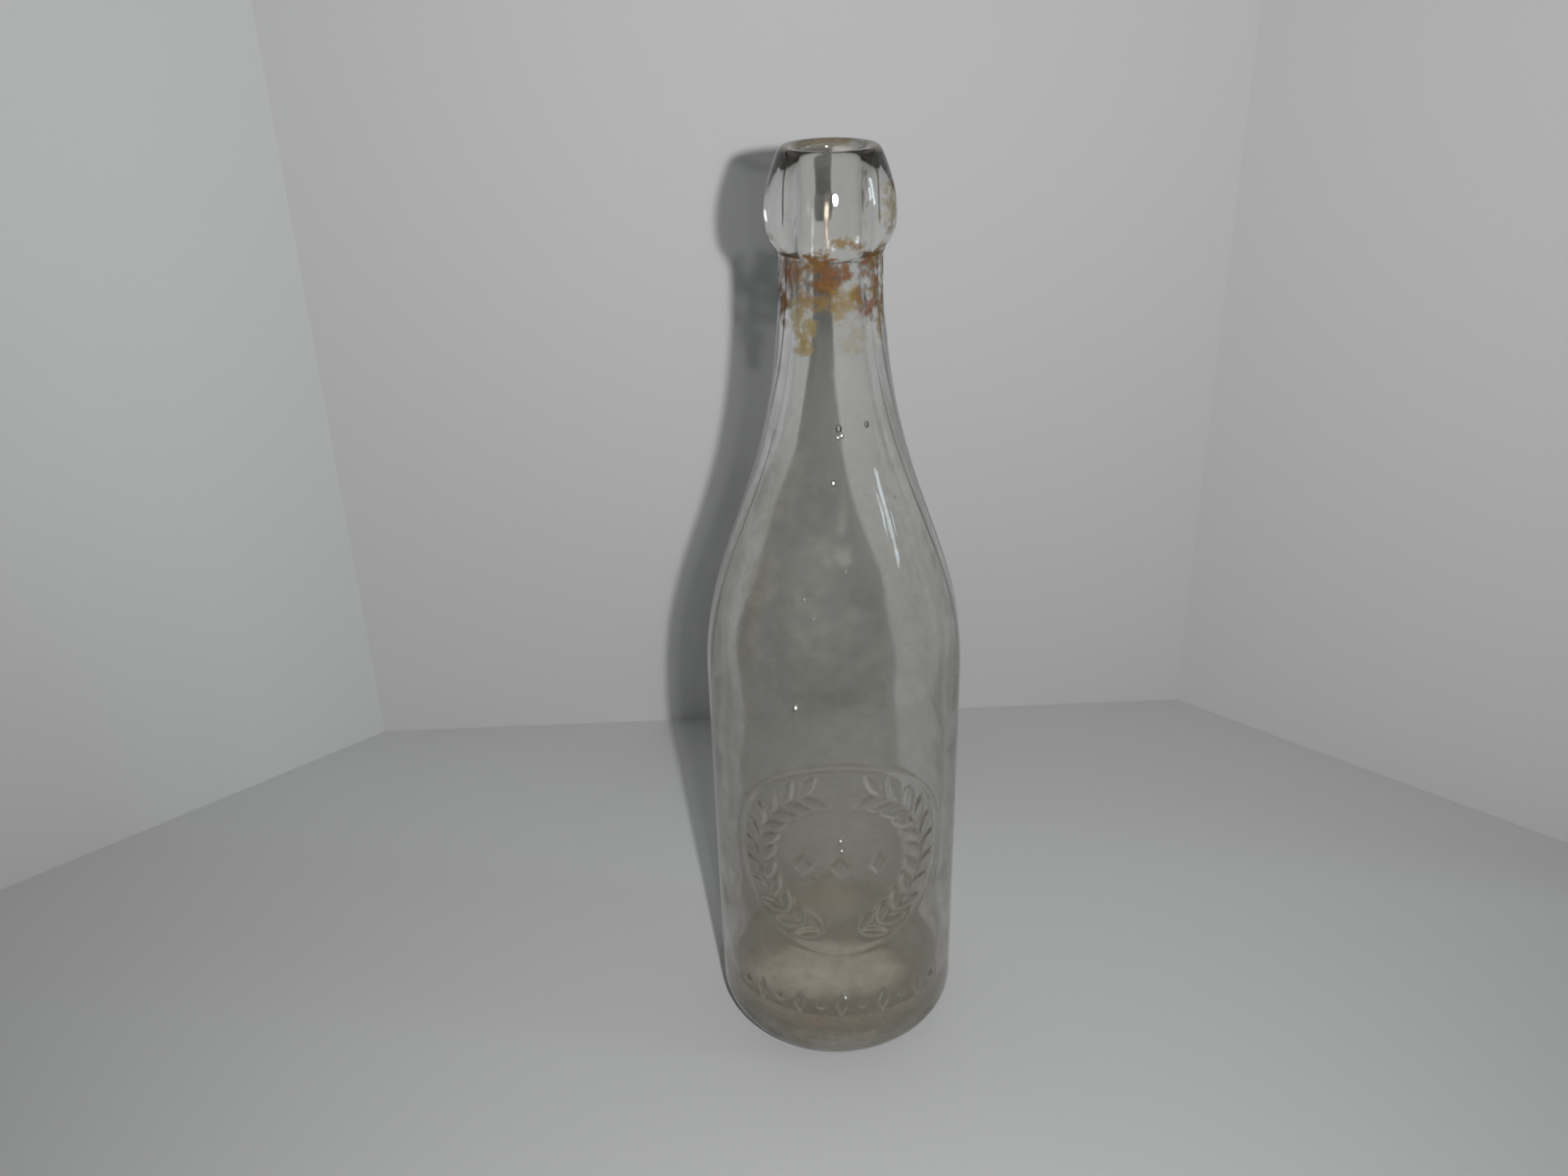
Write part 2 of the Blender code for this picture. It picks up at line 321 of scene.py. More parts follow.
    def lip_bore_line(self) -> Points:
        """The bore of the lip, from the end of the neck up to the rounding of the mouth."""
        seat, mouth_foot = self.neck_end + self.joint_gap, self.height - self.mouth_rounding
        reach = (mouth_foot - seat) / 3
        return cubic(
            (self.neck_bore, seat), (self.neck_bore, seat + reach),
            (self.lip_bore, mouth_foot - reach), (self.lip_bore, mouth_foot), self.lip_bore_steps,
        )


@dataclass
class Embossing:
    """Raised glass on the front: the plate line, a wreath, lozenges, and a band at the heel.

    The marks are plain ornament and spell nothing.
    """

    outline: BottleOutline
    plate_radius: float = 28.6 * MM
    plate_height: float = 68.0 * MM
    line_relief: float = 0.24 * MM
    line_half_width: float = 0.9 * MM
    line_foot_share: float = 0.45
    relief: float = 0.52 * MM
    flank: float = 0.8 * MM
    flank_share: float = 0.25
    wreath_radius: float = 21.6 * MM
    leaf_pairs: int = 11
    leaf_length: float = 8.6 * MM
    leaf_half_width: float = 1.55 * MM
    leaf_lean: float = math.radians(38)
    leaf_offset: float = 2.3 * MM
    wreath_gap: float = math.radians(13)
    lozenge_spacing: float = 9.5 * MM
    lozenge_height: float = 67.0 * MM
    lozenge_half: tuple[float, float] = (2.6 * MM, 3.7 * MM)
    heel_height: float = 21.4 * MM
    heel_spacing: float = 5.6 * MM
    heel_half: tuple[float, float] = (1.6 * MM, 4.0 * MM)
    bead_radius: float = 1.15 * MM
    heel_marks: int = 5

    def leaf(self, along: Points, across: Points) -> Points:
        """How deep each point lies within a pointed leaf, negative outside it."""
        half, width = self.leaf_length / 2, self.leaf_half_width
        bow = (half * half + width * width) / (2 * width)
        return bow - np.hypot(along, np.abs(across) + bow - width)

    def lozenge(self, across: Points, along: Points, half: tuple[float, float]) -> Points:
        """How deep each point lies within a lozenge, negative outside it."""
        slope = math.hypot(1 / half[0], 1 / half[1])
        return (1.0 - np.abs(across) / half[0] - np.abs(along) / half[1]) / slope

    def wreath(self, x: Points, z: Points) -> Points:
        """Depth within the two sprays of leaves that climb from the plate's foot to its top."""
        best = np.full(x.shape, -1.0)
        first, last = self.wreath_gap, math.pi - self.wreath_gap
        for side in (-1, 1):
            for pair in range(self.leaf_pairs):
                turn = first + (last - first) * (pair + 0.5) / self.leaf_pairs
                away = np.array([side * math.sin(turn), -math.cos(turn)])
                climb = np.array([side * math.cos(turn), math.sin(turn)])
                for row in (-1, 1):
                    centre = away * (self.wreath_radius + row * self.leaf_offset)
                    lean = climb * math.cos(self.leaf_lean) + away * row * math.sin(self.leaf_lean)
                    dx, dz = x - centre[0], z - centre[1]
                    along = dx * lean[0] + dz * lean[1]
                    across = dx * lean[1] - dz * lean[0]
                    best = np.maximum(best, self.leaf(along, across))
        return best

    def inside_marks(self, round_arc: Points, height: Points) -> Points:
        """How deep each point of the skin lies within the nearest mark, negative between marks."""
        best = self.wreath(round_arc, height - self.plate_height)
        along = height - self.lozenge_height
        for mark in (-1, 0, 1):
            across = round_arc - mark * self.lozenge_spacing
            best = np.maximum(best, self.lozenge(across, along, self.lozenge_half))
        along = height - self.heel_height
        for mark in range(-self.heel_marks, self.heel_marks + 1):
            across = round_arc - mark * self.heel_spacing
            bead = self.bead_radius - np.hypot(across, along)
            depth = bead if mark % 2 else self.lozenge(across, along, self.heel_half)
            best = np.maximum(best, depth)
        return best

    def from_line(self, round_arc: Points, height: Points) -> Points:
        """How far each point of the skin lies from the plate line."""
        return np.abs(np.hypot(round_arc, height - self.plate_height) - self.plate_radius)

    def edge_share(self, angle: Points, height: Points) -> Points:
        """How near each point is to a mark's edge or to the plate line: 1 at it, 0 away from it."""
        round_arc = angle * self.outline.body_radius
        edge = self.flank * self.flank_share
        from_edge = np.abs(self.inside_marks(round_arc, height) - edge)
        nearest = np.minimum(from_edge, self.from_line(round_arc, height))
        return np.exp(-((nearest / (self.line_half_width / 2)) ** 2))

    def height_at(self, angle: Points, height: Points) -> Points:
        """How far the skin stands out of the plain body.

        Args:
            angle: Angle round the bottle from the front.
            height: Height above the foot.

        Returns:
            The relief at each point, in metres. The plate line is fainter towards its foot.
        """
        round_arc = angle * self.outline.body_radius
        inside = self.inside_marks(round_arc, height) / self.flank
        marks = self.relief * eased(np.clip(inside + self.flank_share, 0.0, 1.0))
        above = (height - self.plate_height) / (2 * self.plate_radius)
        climb = np.clip(0.5 + above, 0.0, 1.0)
        line = self.line_relief * (self.line_foot_share + (1.0 - self.line_foot_share) * climb)
        line = line * np.exp(-((self.from_line(round_arc, height) / self.line_half_width) ** 2))
        return np.maximum(marks, line)


@dataclass
class Waviness:
    """Slow unevenness of blown glass, as a sum of a few waves round and along the bottle."""

    depth: float
    seed: int
    waves: int = 9
    most_turns: int = 5
    shortest: float = 16.0 * MM
    longest: float = 60.0 * MM

    def at(self, angle: Points, height: Points) -> Points:
        """Departure from the true surface at each point, within about twice the depth."""
        draw = np.random.default_rng(self.seed)
        total = np.zeros(np.broadcast(angle, height).shape)
        for _ in range(self.waves):
            turns = int(draw.integers(1, self.most_turns + 1))
            length = draw.uniform(self.shortest, self.longest)
            phase, lean = draw.uniform(0, math.tau, 2)
            along = np.sin(math.tau * height / length + lean)
            total = total + np.sin(turns * angle + phase) * along
        return total * self.depth / math.sqrt(self.waves)


def front_columns(fine: float, coarse: float, reach: float) -> Points:
    """Angles round the bottle, close together on the embossed front and wider apart behind.

    Args:
        fine: Angle between columns on the front.
        coarse: Angle between columns elsewhere.
        reach: Half of the angle that the front takes.

    Returns:
        Angles from -reach onwards, once round.
    """
    front = np.linspace(-reach, reach, int(math.ceil(2 * reach / fine)) + 1)
    rest = math.tau - 2 * reach
    back = np.linspace(reach, reach + rest, int(math.ceil(rest / coarse)) + 1)[1:-1]
    return np.concatenate([front, back])


class Lathe:
    """A closed glass form turned from several stretches of profile, one for each surface."""

    def __init__(self, name: str, angles: Points) -> None:
        """Start an empty form with these columns."""
        self.name = name
        self.angles = angles
        self.rings: list[Points] = []
        self.surfaces: list[Surface] = []
        self.end: Points | None = None

    def add(self, profile: Points, surface: Surface,
            shape: Callable[[Points, Points, Points], Points] | None = None) -> None:
        """Add rings along a profile that starts where the last one ended.

        Args:
            profile: Rows of (radius, height).
            surface: Which surface the faces of this stretch lie on.
            shape: Gives the radius at each (radius, angle, height), or None to keep it.
        """
        if self.end is not None and np.allclose(profile[0], self.end):
            profile = profile[1:]
        self.end = profile[-1]
        for radius, height in profile:
            radii = np.full(self.angles.shape, radius)
            heights = np.full(self.angles.shape, height)
            if shape is not None and radius > 0:
                radii = shape(radii, self.angles, heights)
            ring = np.stack([radii * np.sin(self.angles), -radii * np.cos(self.angles), heights], 1)
            self.rings.append(ring if radius > 0 else ring[:1])
            self.surfaces.append(surface)

    def faces_between(self, low: int, high: int, starts: Sequence[int]) -> list[list[int]]:
        """The faces between two rings, of which one may be a single point on the axis.

        Args:
            low: Index of the first ring.
            high: Index of the second ring.
            starts: Index of the first point of each ring.

        Returns:
            One face for each column.
        """
        count = len(self.angles)
        a, b = starts[low], starts[high]
        faces: list[list[int]] = []
        for column in range(count):
            after = (column + 1) % count
            if len(self.rings[low]) == 1:
                faces.append([a, b + after, b + column])
            elif len(self.rings[high]) == 1:
                faces.append([a + column, a + after, b])
            else:
                faces.append([a + column, a + after, b + after, b + column])
        return faces

    def mesh(self, materials: Sequence[bpy.types.Material], closes: bool) -> bpy.types.Mesh:
        """Join the rings with faces.

        Args:
            materials: Materials in the order of the surfaces.
            closes: True if the last ring joins the first, False if both ends lie on the axis.

        Returns:
            The mesh, smooth shaded.
        """
        starts = np.concatenate([[0], np.cumsum([len(ring) for ring in self.rings])]).tolist()
        last = len(self.rings) - 1
        pairs = [(low, low + 1) for low in range(last)] + ([(last, 0)] if closes else [])
        faces: list[list[int]] = []
        surfaces: list[int] = []
        for low, high in pairs:
            faces += self.faces_between(low, high, starts)
            surfaces += [self.surfaces[high]] * len(self.angles)
        mesh = bpy.data.meshes.new(self.name)
        mesh.from_pydata(np.concatenate(self.rings).tolist(), [], faces)
        for material in materials:
            mesh.materials.append(material)
        mesh.polygons.foreach_set("material_index", surfaces)
        mesh.shade_smooth()
        mesh.set_sharp_from_angle(angle=SHARP_EDGE)
        mesh.update()
        return mesh


def placed(mesh: bpy.types.Mesh, stands_for: Sequence[str] = ()) -> bpy.types.Object:
    """Put a mesh in the scene as a piece of the bottle.

    Args:
        mesh: The piece's mesh, already in place.
        stands_for: Names of the CAD nodes that it replaces.

    Returns:
        The piece.
    """
    piece = bpy.data.objects.new(mesh.name, mesh)
    bpy.context.scene.collection.objects.link(piece)
    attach(piece, "root")
    if stands_for:
        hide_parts(*stands_for)
    LOG.info("%s: %d faces", piece.name, len(mesh.polygons))
    return piece


def opaque(colour: Colour) -> tuple[float, float, float, float]:
    """A colour with full alpha."""
    return (*colour, 1.0)


def feed(tree: bpy.types.NodeTree, node: bpy.types.Node, inputs: Inputs) -> None:
    """Fill inputs of a node.

    Args:
        tree: The tree that holds the node.
        node: The node.
        inputs: For each input, by name or number, an output to link to it or a value.
    """
    for name, source in inputs.items():
        if isinstance(source, bpy.types.NodeSocket):
            tree.links.new(source, node.inputs[name])
        else:
            node.inputs[name].default_value = source


def add_node(tree: bpy.types.NodeTree, kind: str, inputs: Inputs) -> bpy.types.Node:
    """Add a node of this kind to a tree and fill its inputs, as feed does."""
    node = tree.nodes.new(kind)
    feed(tree, node, inputs)
    return node


def computed(tree: bpy.types.NodeTree, operation: str, first: Any,
             second: Any) -> bpy.types.NodeSocket:
    """Add a Math node.

    Args:
        tree: The tree that it goes in.
        operation: What it does with its inputs.
        first: Its first input, an output to link or a value.
        second: Its second input.

    Returns:
        The output with the result.
    """
    node = add_node(tree, "ShaderNodeMath", {0: first, 1: second})
    node.operation = operation
    return node.outputs[0]


def stored(tree: bpy.types.NodeTree, name: str) -> bpy.types.NodeSocket:
    """The output with the values that a mesh keeps for its points under a name."""
    node = add_node(tree, "ShaderNodeAttribute", {})
    node.attribute_name = name
    return node.outputs["Fac"]


def new_material(name: str, inputs: Inputs) -> tuple[bpy.types.Material, bpy.types.Node]:
    """Make a material and fill inputs of its Principled shader.

    Args:
        name: Name of the material.
        inputs: Values of the shader's inputs.

    Returns:
        The material and its Principled shader.
    """
    material = bpy.data.materials.new(name)
    material.use_nodes = True
    shader = material.node_tree.nodes["Principled BSDF"]
    feed(material.node_tree, shader, inputs)
    return material, shader


def pass_straight(tree: bpy.types.NodeTree, shader: bpy.types.Node,
                  share: bpy.types.NodeSocket) -> None:
    """Let a share of the rays pass straight through a material instead of meeting its shader."""
    clear = add_node(tree, "ShaderNodeBsdfTransparent", {})
    parts = {0: share, 1: shader.outputs[0], 2: clear.outputs[0]}
    mix = add_node(tree, "ShaderNodeMixShader", parts)
    feed(tree, tree.nodes["Material Output"], {"Surface": mix.outputs[0]})


@dataclass(frozen=True)
class ClearGlass:
    """Clear blown glass with a faint tint.

    Shadow rays and diffuse rays aren't bent, so the glass lets a share of them straight through,
    more where they leave the glass than where they enter: residue inside is lit, and the shadow
    behind stays dark. Where lip and neck melted together it is glass against glass: an index of 1
    there bends no light.
    """

    name: str
    tint: Colour
    roughness: float = 0.02
    ior: float = 1.52
    share_leaving: float = 0.95
    share_entering: float = 0.25

    def material(self) -> bpy.types.Material:
        """Build the material."""
        material, shader = new_material(self.name, {
            "Base Color": opaque(self.tint), "Roughness": self.roughness, "IOR": self.ior,
            "Transmission Weight": 1.0,
        })
        tree = material.node_tree
        path = add_node(tree, "ShaderNodeLightPath", {}).outputs
        side = add_node(tree, "ShaderNodeNewGeometry", {})
        passed = add_node(tree, "ShaderNodeMapRange", {
            "Value": side.outputs["Backfacing"],
            "To Min": self.share_entering, "To Max": self.share_leaving,
        })
        unbent = computed(tree, "MAXIMUM", path["Is Shadow Ray"], path["Is Diffuse Ray"])
        pass_straight(tree, shader, computed(tree, "MULTIPLY", unbent, passed.outputs[0]))
        return material


@dataclass
class BlownBody:
    """The blown body and neck."""

    outline: BottleOutline
    embossing: Embossing
    glass: bpy.types.Material
    inner_glass: bpy.types.Material
    floor_glass: bpy.types.Material
    joint: bpy.types.Material
    floor_top: float = 15.0 * MM
    seam_half_width: float = 0.4 * MM
    seam_stop: float = 12.0 * MM
    seam_fade: float = 6.0 * MM
    fine_spacing: float = 0.4 * MM
    coarse_spacing: float = 1.3 * MM
    inside_spacing: float = 2.2 * MM
    back_spacing: float = math.radians(3)
    plate_margin: float = 1.2 * MM
    heel_margin: float = 1.0 * MM
    wall_margin: float = 0.5 * MM
    front_reach: float = math.radians(63)
    foot_fade: float = 12.0 * MM
    lip_fade: float = 10.0 * MM
    even_bore: tuple[float, float] = (200.0 * MM, 212.0 * MM)
    skin_wave: Waviness = field(default_factory=lambda: Waviness(0.03 * MM, 3))
    bore_wave: Waviness = field(default_factory=lambda: Waviness(0.10 * MM, 8))

    def spacing(self, rows: Points) -> Points:
        """Distance wanted between rings at each height: small where the skin is embossed."""
        height, marks = rows[:, 1], self.embossing
        plate = np.abs(height - marks.plate_height) < marks.plate_radius + self.plate_margin
        heel = np.abs(height - marks.heel_height) < marks.heel_half[1] + self.heel_margin
        on_wall = rows[:, 0] > self.outline.body_radius - self.wall_margin
        return np.where((plate | heel) & on_wall, self.fine_spacing, self.coarse_spacing)

    def seam(self, radii: Points, from_front: Points, height: float) -> Points:
        """How far the two mould seams stand out, none at the heel and near the lip."""
        from_top = self.outline.lip_base - self.seam_stop - height
        from_foot = height - self.outline.heel_radius
        share = min(1.0, max(0.0, min(from_top, from_foot) / self.seam_fade))
        off_seam = np.abs(np.abs(from_front) - math.pi / 2) * radii / self.seam_half_width
        return self.outline.seam_relief * share * np.exp(-off_seam**2)

    def skin(self, radii: Points, angles: Points, heights: Points) -> Points:
        """The outside radius with its seams, embossing and unevenness."""
        from_front = (angles + math.pi) % math.tau - math.pi
        front = self.embossing.height_at(from_front, heights)
        seam = self.seam(radii, from_front, heights[0])
        return radii + np.maximum(seam, front) + self.unevenness(angles, heights)

    def unevenness(self, angles: Points, heights: Points) -> Points:
        """Slow hollows of the skin, none at the foot and at the lip."""
        height = heights[0]
        fade = smooth_step(0.0, self.foot_fade, height)
        fade *= 1.0 - smooth_step(-self.lip_fade, 0.0, height - self.outline.lip_base)
        return np.minimum(0.0, self.skin_wave.at(angles, heights)) * fade

    def bore(self, radii: Points, angles: Points, heights: Points) -> Points:
        """The inside radius with the unevenness of blown glass, which ends over even_bore."""
        share = np.clip(radii / self.outline.body_bore, 0.0, 1.0)
        share = share * (1.0 - smooth_step(*self.even_bore, heights[0]))
        return radii + self.bore_wave.at(angles, heights) * share

    def columns(self) -> Points:
        """Angles of the columns, close together on the front."""
        fine = self.fine_spacing / self.outline.body_radius
        return front_columns(fine, self.back_spacing, self.front_reach)

    def build(self) -> bpy.types.Object:
        """Build the body from the centre of the base, up the outside and down the inside."""
        form = Lathe("blown_body", self.columns())
        form.add(respaced(self.outline.outside(), self.spacing), Surface.SKIN, self.skin)
        form.add(self.outline.neck_top(), Surface.JOINT)
        inside = respaced(self.outline.inside(), evenly(self.inside_spacing))
        form.add(inside[inside[:, 1] >= self.floor_top], Surface.BORE, self.bore)
        form.add(inside[inside[:, 1] < self.floor_top], Surface.FLOOR, self.bore)
        materials = [self.glass, self.joint, self.inner_glass, self.floor_glass]
        return placed(form.mesh(materials, closes=False), ["bottle_body"])


@dataclass
class BlobLip:
    """The lip laid round the end of the neck."""

    outline: BottleOutline
    glass: bpy.types.Material
    inner_glass: bpy.types.Material
    joint: bpy.types.Material
    columns: int = 160
    skin_spacing: float = 0.5 * MM
    bore_spacing: float = 0.8 * MM

    def build(self) -> bpy.types.Object:
        """Build the ring of the lip."""
        form = Lathe("blob_lip_glass", np.linspace(0.0, math.tau, self.columns, endpoint=False))
        skin = respaced(self.outline.lip_skin(), evenly(self.skin_spacing))
        bore = respaced(self.outline.lip_bore_line(), evenly(self.bore_spacing))
        form.add(skin[::-1], Surface.SKIN)
        form.add(bore[::-1], Surface.BORE)
        form.add(self.outline.lip_seat()[::-1], Surface.JOINT)
        materials = [self.glass, self.joint, self.inner_glass]
        return placed(form.mesh(materials, closes=True), ["blob_lip"])


@dataclass(frozen=True)
class Clouds:
    """Fractal noise: the size of its detail, how that weakens and shrinks, and how many sizes."""

    grain: float
    weakening: float = 0.7
    shrinking: float = 2.0
    octaves: int = 4

    def at(self, point: Vector) -> float:
        """The noise at a point, round 0."""
        return noise.fractal(point / self.grain, self.weakening, self.shrinking, self.octaves)


@dataclass(frozen=True)
class Covers:
    """How much a stain covers by height, as rows of (millimetres, share) with straight steps."""

    rows: tuple[tuple[float, float], ...]

    def at(self, height: float) -> float:
        """The cover at a height in metres."""
        heights, shares = zip(*self.rows)
        return float(np.interp(height / MM, heights, shares))


@dataclass(frozen=True)
class Blotch:
    """One blotch of a stain. Its turn is in degrees, its height and half sizes in millimetres.

    Its tone runs along the colours of the finish, from 0 at the first to 1 at the last. For the
    dried film 0 is the second colour, and the first, its darkest, lies at -0.25.
    """

    turn: float
    height: float
    half_width: float
    half_height: float
    strength: float
    tone: float


@dataclass(frozen=True)
class Stain:
    """A stain made of blotches with ragged edges, known at every point of a round surface.

    A blotch ends at its reach, counted in its half sizes. The clouds move that edge in and out, by
    up to about the raggedness.
    """

    blotches: tuple[Blotch, ...]
    clouds: Clouds
    raggedness: float
    reach: float = 1.2
    least_weight: float = 1e-6

    def at(self, point: Vector, turn: float) -> tuple[float, float]:
        """Strength and tone of the stain at a point.

        Args:
            point: The point, in metres.
            turn: Its angle from the front, in radians.

        Returns:
            The strength of the strongest blotch and the mean tone, weighted by strength.
        """
        radius = math.hypot(point.x, point.y)
        ragged = self.clouds.at(point) * self.raggedness
        strength, tone, weight = 0.0, 0.0, self.least_weight
        for blotch in self.blotches:
            away = (turn - math.radians(blotch.turn) + math.pi) % math.tau - math.pi
            across = away * radius / (blotch.half_width * MM)
            along = (point.z - blotch.height * MM) / (blotch.half_height * MM)
            share = min(1.0, max(0.0, self.reach - math.hypot(across, along) + ragged))
            here = blotch.strength * eased(share)
            strength = max(strength, here)
            tone += here * blotch.tone
            weight += here
        return strength, tone / weight


def paint(mesh: bpy.types.Mesh, strengths: Sequence[float], tones: Sequence[float]) -> None:
    """Store a stain's strength and tone for each point of a mesh, for its finish to read."""
    for name, values in (("strength", strengths), ("tone", tones)):
        mesh.attributes.new(name, "FLOAT", "POINT").data.foreach_set("value", values)


class StainSheet:
    """A sheet through rows of points that go round the bottle, each with its strength and tone."""

    def __init__(self) -> None:
        """Start an empty sheet."""
        self.rows: list[list[Vector]] = []
        self.strengths: list[float] = []
        self.tones: list[float] = []

    def start_row(self) -> None:
        """Start the next row."""
        self.rows.append([])

    def add(self, point: Vector, strength: float, tone: float) -> None:
        """Add the next point of the row."""
        self.rows[-1].append(point)
        self.strengths.append(strength)
        self.tones.append(tone)

    def mesh(self, name: str, finish: bpy.types.Material) -> bpy.types.Mesh:
        """Join the rows with quads, once round.

        Args:
            name: Name of the mesh.
            finish: The stain's material.

        Returns:
            The mesh, smooth shaded.
        """
        count = len(self.rows[0])
        faces: list[tuple[int, int, int, int]] = []
        for low in range(0, count * (len(self.rows) - 1), count):
            high = low + count
            for column in range(count):
                after = (column + 1) % count
                faces.append((low + column, low + after, high + after, high + column))
        mesh = bpy.data.meshes.new(name)
        mesh.from_pydata([tuple(point) for row in self.rows for point in row], [], faces)
        mesh.shade_smooth()
        paint(mesh, self.strengths, self.tones)
        mesh.materials.append(finish)
        return mesh


@dataclass(frozen=True)
class StainFinish:
    """A dry stain: its colours by tone, how much it covers at most, and how uneven it is.

    The grain is about how many of its patches lie in a metre. The shine is its specular level,
    and the glow strength paints a highlight: the stain glows faintly with no lamp on it.
    """

    name: str
    colours: tuple[Colour, ...]
    roughness: float
    grain: float
    mottling: float
    most: float
    relief: float
    shine: float = 0.2
    # strength of a faint glow, a painted highlight; none for real stains
    painted_glint_glow: float = 0.0

    def material(self) -> bpy.types.Material:
        """Build the material."""
        material, shader = new_material(self.name, {
            "Roughness": self.roughness, "Specular IOR Level": self.shine,
            "Emission Strength": self.painted_glint_glow,
        })
        tree = material.node_tree
        place = add_node(tree, "ShaderNodeTexCoord", {})
        mottle = add_node(tree, "ShaderNodeGroup", {})
        mottle.node_tree = mottling_group()
        feed(tree, mottle, {
            "Place": place.outputs["Object"], "Grain": self.grain, "Depth": self.mottling,
        })
        tone = computed(tree, "ADD", stored(tree, "tone"), mottle.outputs["Shift"])
        ramp = add_node(tree, "ShaderNodeValToRGB", {0: tone})
        self.fill_ramp(ramp.color_ramp)
        cover = computed(tree, "MULTIPLY", stored(tree, "strength"), mottle.outputs["Cover"])
        cover.node.use_clamp = True
        bump = add_node(tree, "ShaderNodeBump", {
            "Height": mottle.outputs["Cover"], "Distance": self.relief,
        })
        feed(tree, shader, {
            "Base Color": ramp.outputs[0], "Normal": bump.outputs[0],
            "Alpha": computed(tree, "MULTIPLY", cover, self.most),
        })
        return material

    def fill_ramp(self, ramp: bpy.types.ColorRamp) -> None:
        """Spread the colours evenly over a ramp, which starts with a stop at each end."""
        last = len(self.colours) - 1
        ramp.elements[0].color = opaque(self.colours[0])
        ramp.elements[1].color = opaque(self.colours[last])
        for step in range(1, last):
            ramp.elements.new(step / last).color = opaque(self.colours[step])


def mottling_group() -> bpy.types.NodeTree:
    """The node group for the uneven cover and tone of a stain, built once.

    Returns:
        A group that takes Place, Grain and Depth and gives Cover, round 1, and Shift, round 0.
    """
    found = bpy.data.node_groups.get("mottling")
    if found:
        return found
    group = bpy.data.node_groups.new("mottling", "ShaderNodeTree")
    group.interface.new_socket("Place", in_out="INPUT", socket_type="NodeSocketVector")
    for name in ("Grain", "Depth"):
        group.interface.new_socket(name, in_out="INPUT", socket_type="NodeSocketFloat")
    for name in ("Cover", "Shift"):
        group.interface.new_socket(name, in_out="OUTPUT", socket_type="NodeSocketFloat")
    entry = group.nodes.new("NodeGroupInput").outputs
    pattern = {"Vector": entry["Place"], "Scale": entry["Grain"]}
    patches = add_node(group, "ShaderNodeTexNoise", {**pattern, "Detail": 6.0, "Roughness": 0.62})
    tints = add_node(group, "ShaderNodeTexNoise", {**pattern, "Detail": 3.0})
    tints.noise_dimensions = "4D"
    tints.inputs["W"].default_value = 3.7
    cover = add_node(group, "ShaderNodeMapRange", {
        "Value": patches.outputs["Fac"], "From Min": 0.3, "From Max": 0.7,
        "To Min": computed(group, "SUBTRACT", 1.0, entry["Depth"]),
        "To Max": computed(group, "ADD", 1.0, entry["Depth"]),
    })
    centred = computed(group, "SUBTRACT", tints.outputs["Fac"], 0.5)
    add_node(group, "NodeGroupOutput", {
        "Cover": cover.outputs[0], "Shift": computed(group, "MULTIPLY", centred, entry["Depth"]),
    })
    return group


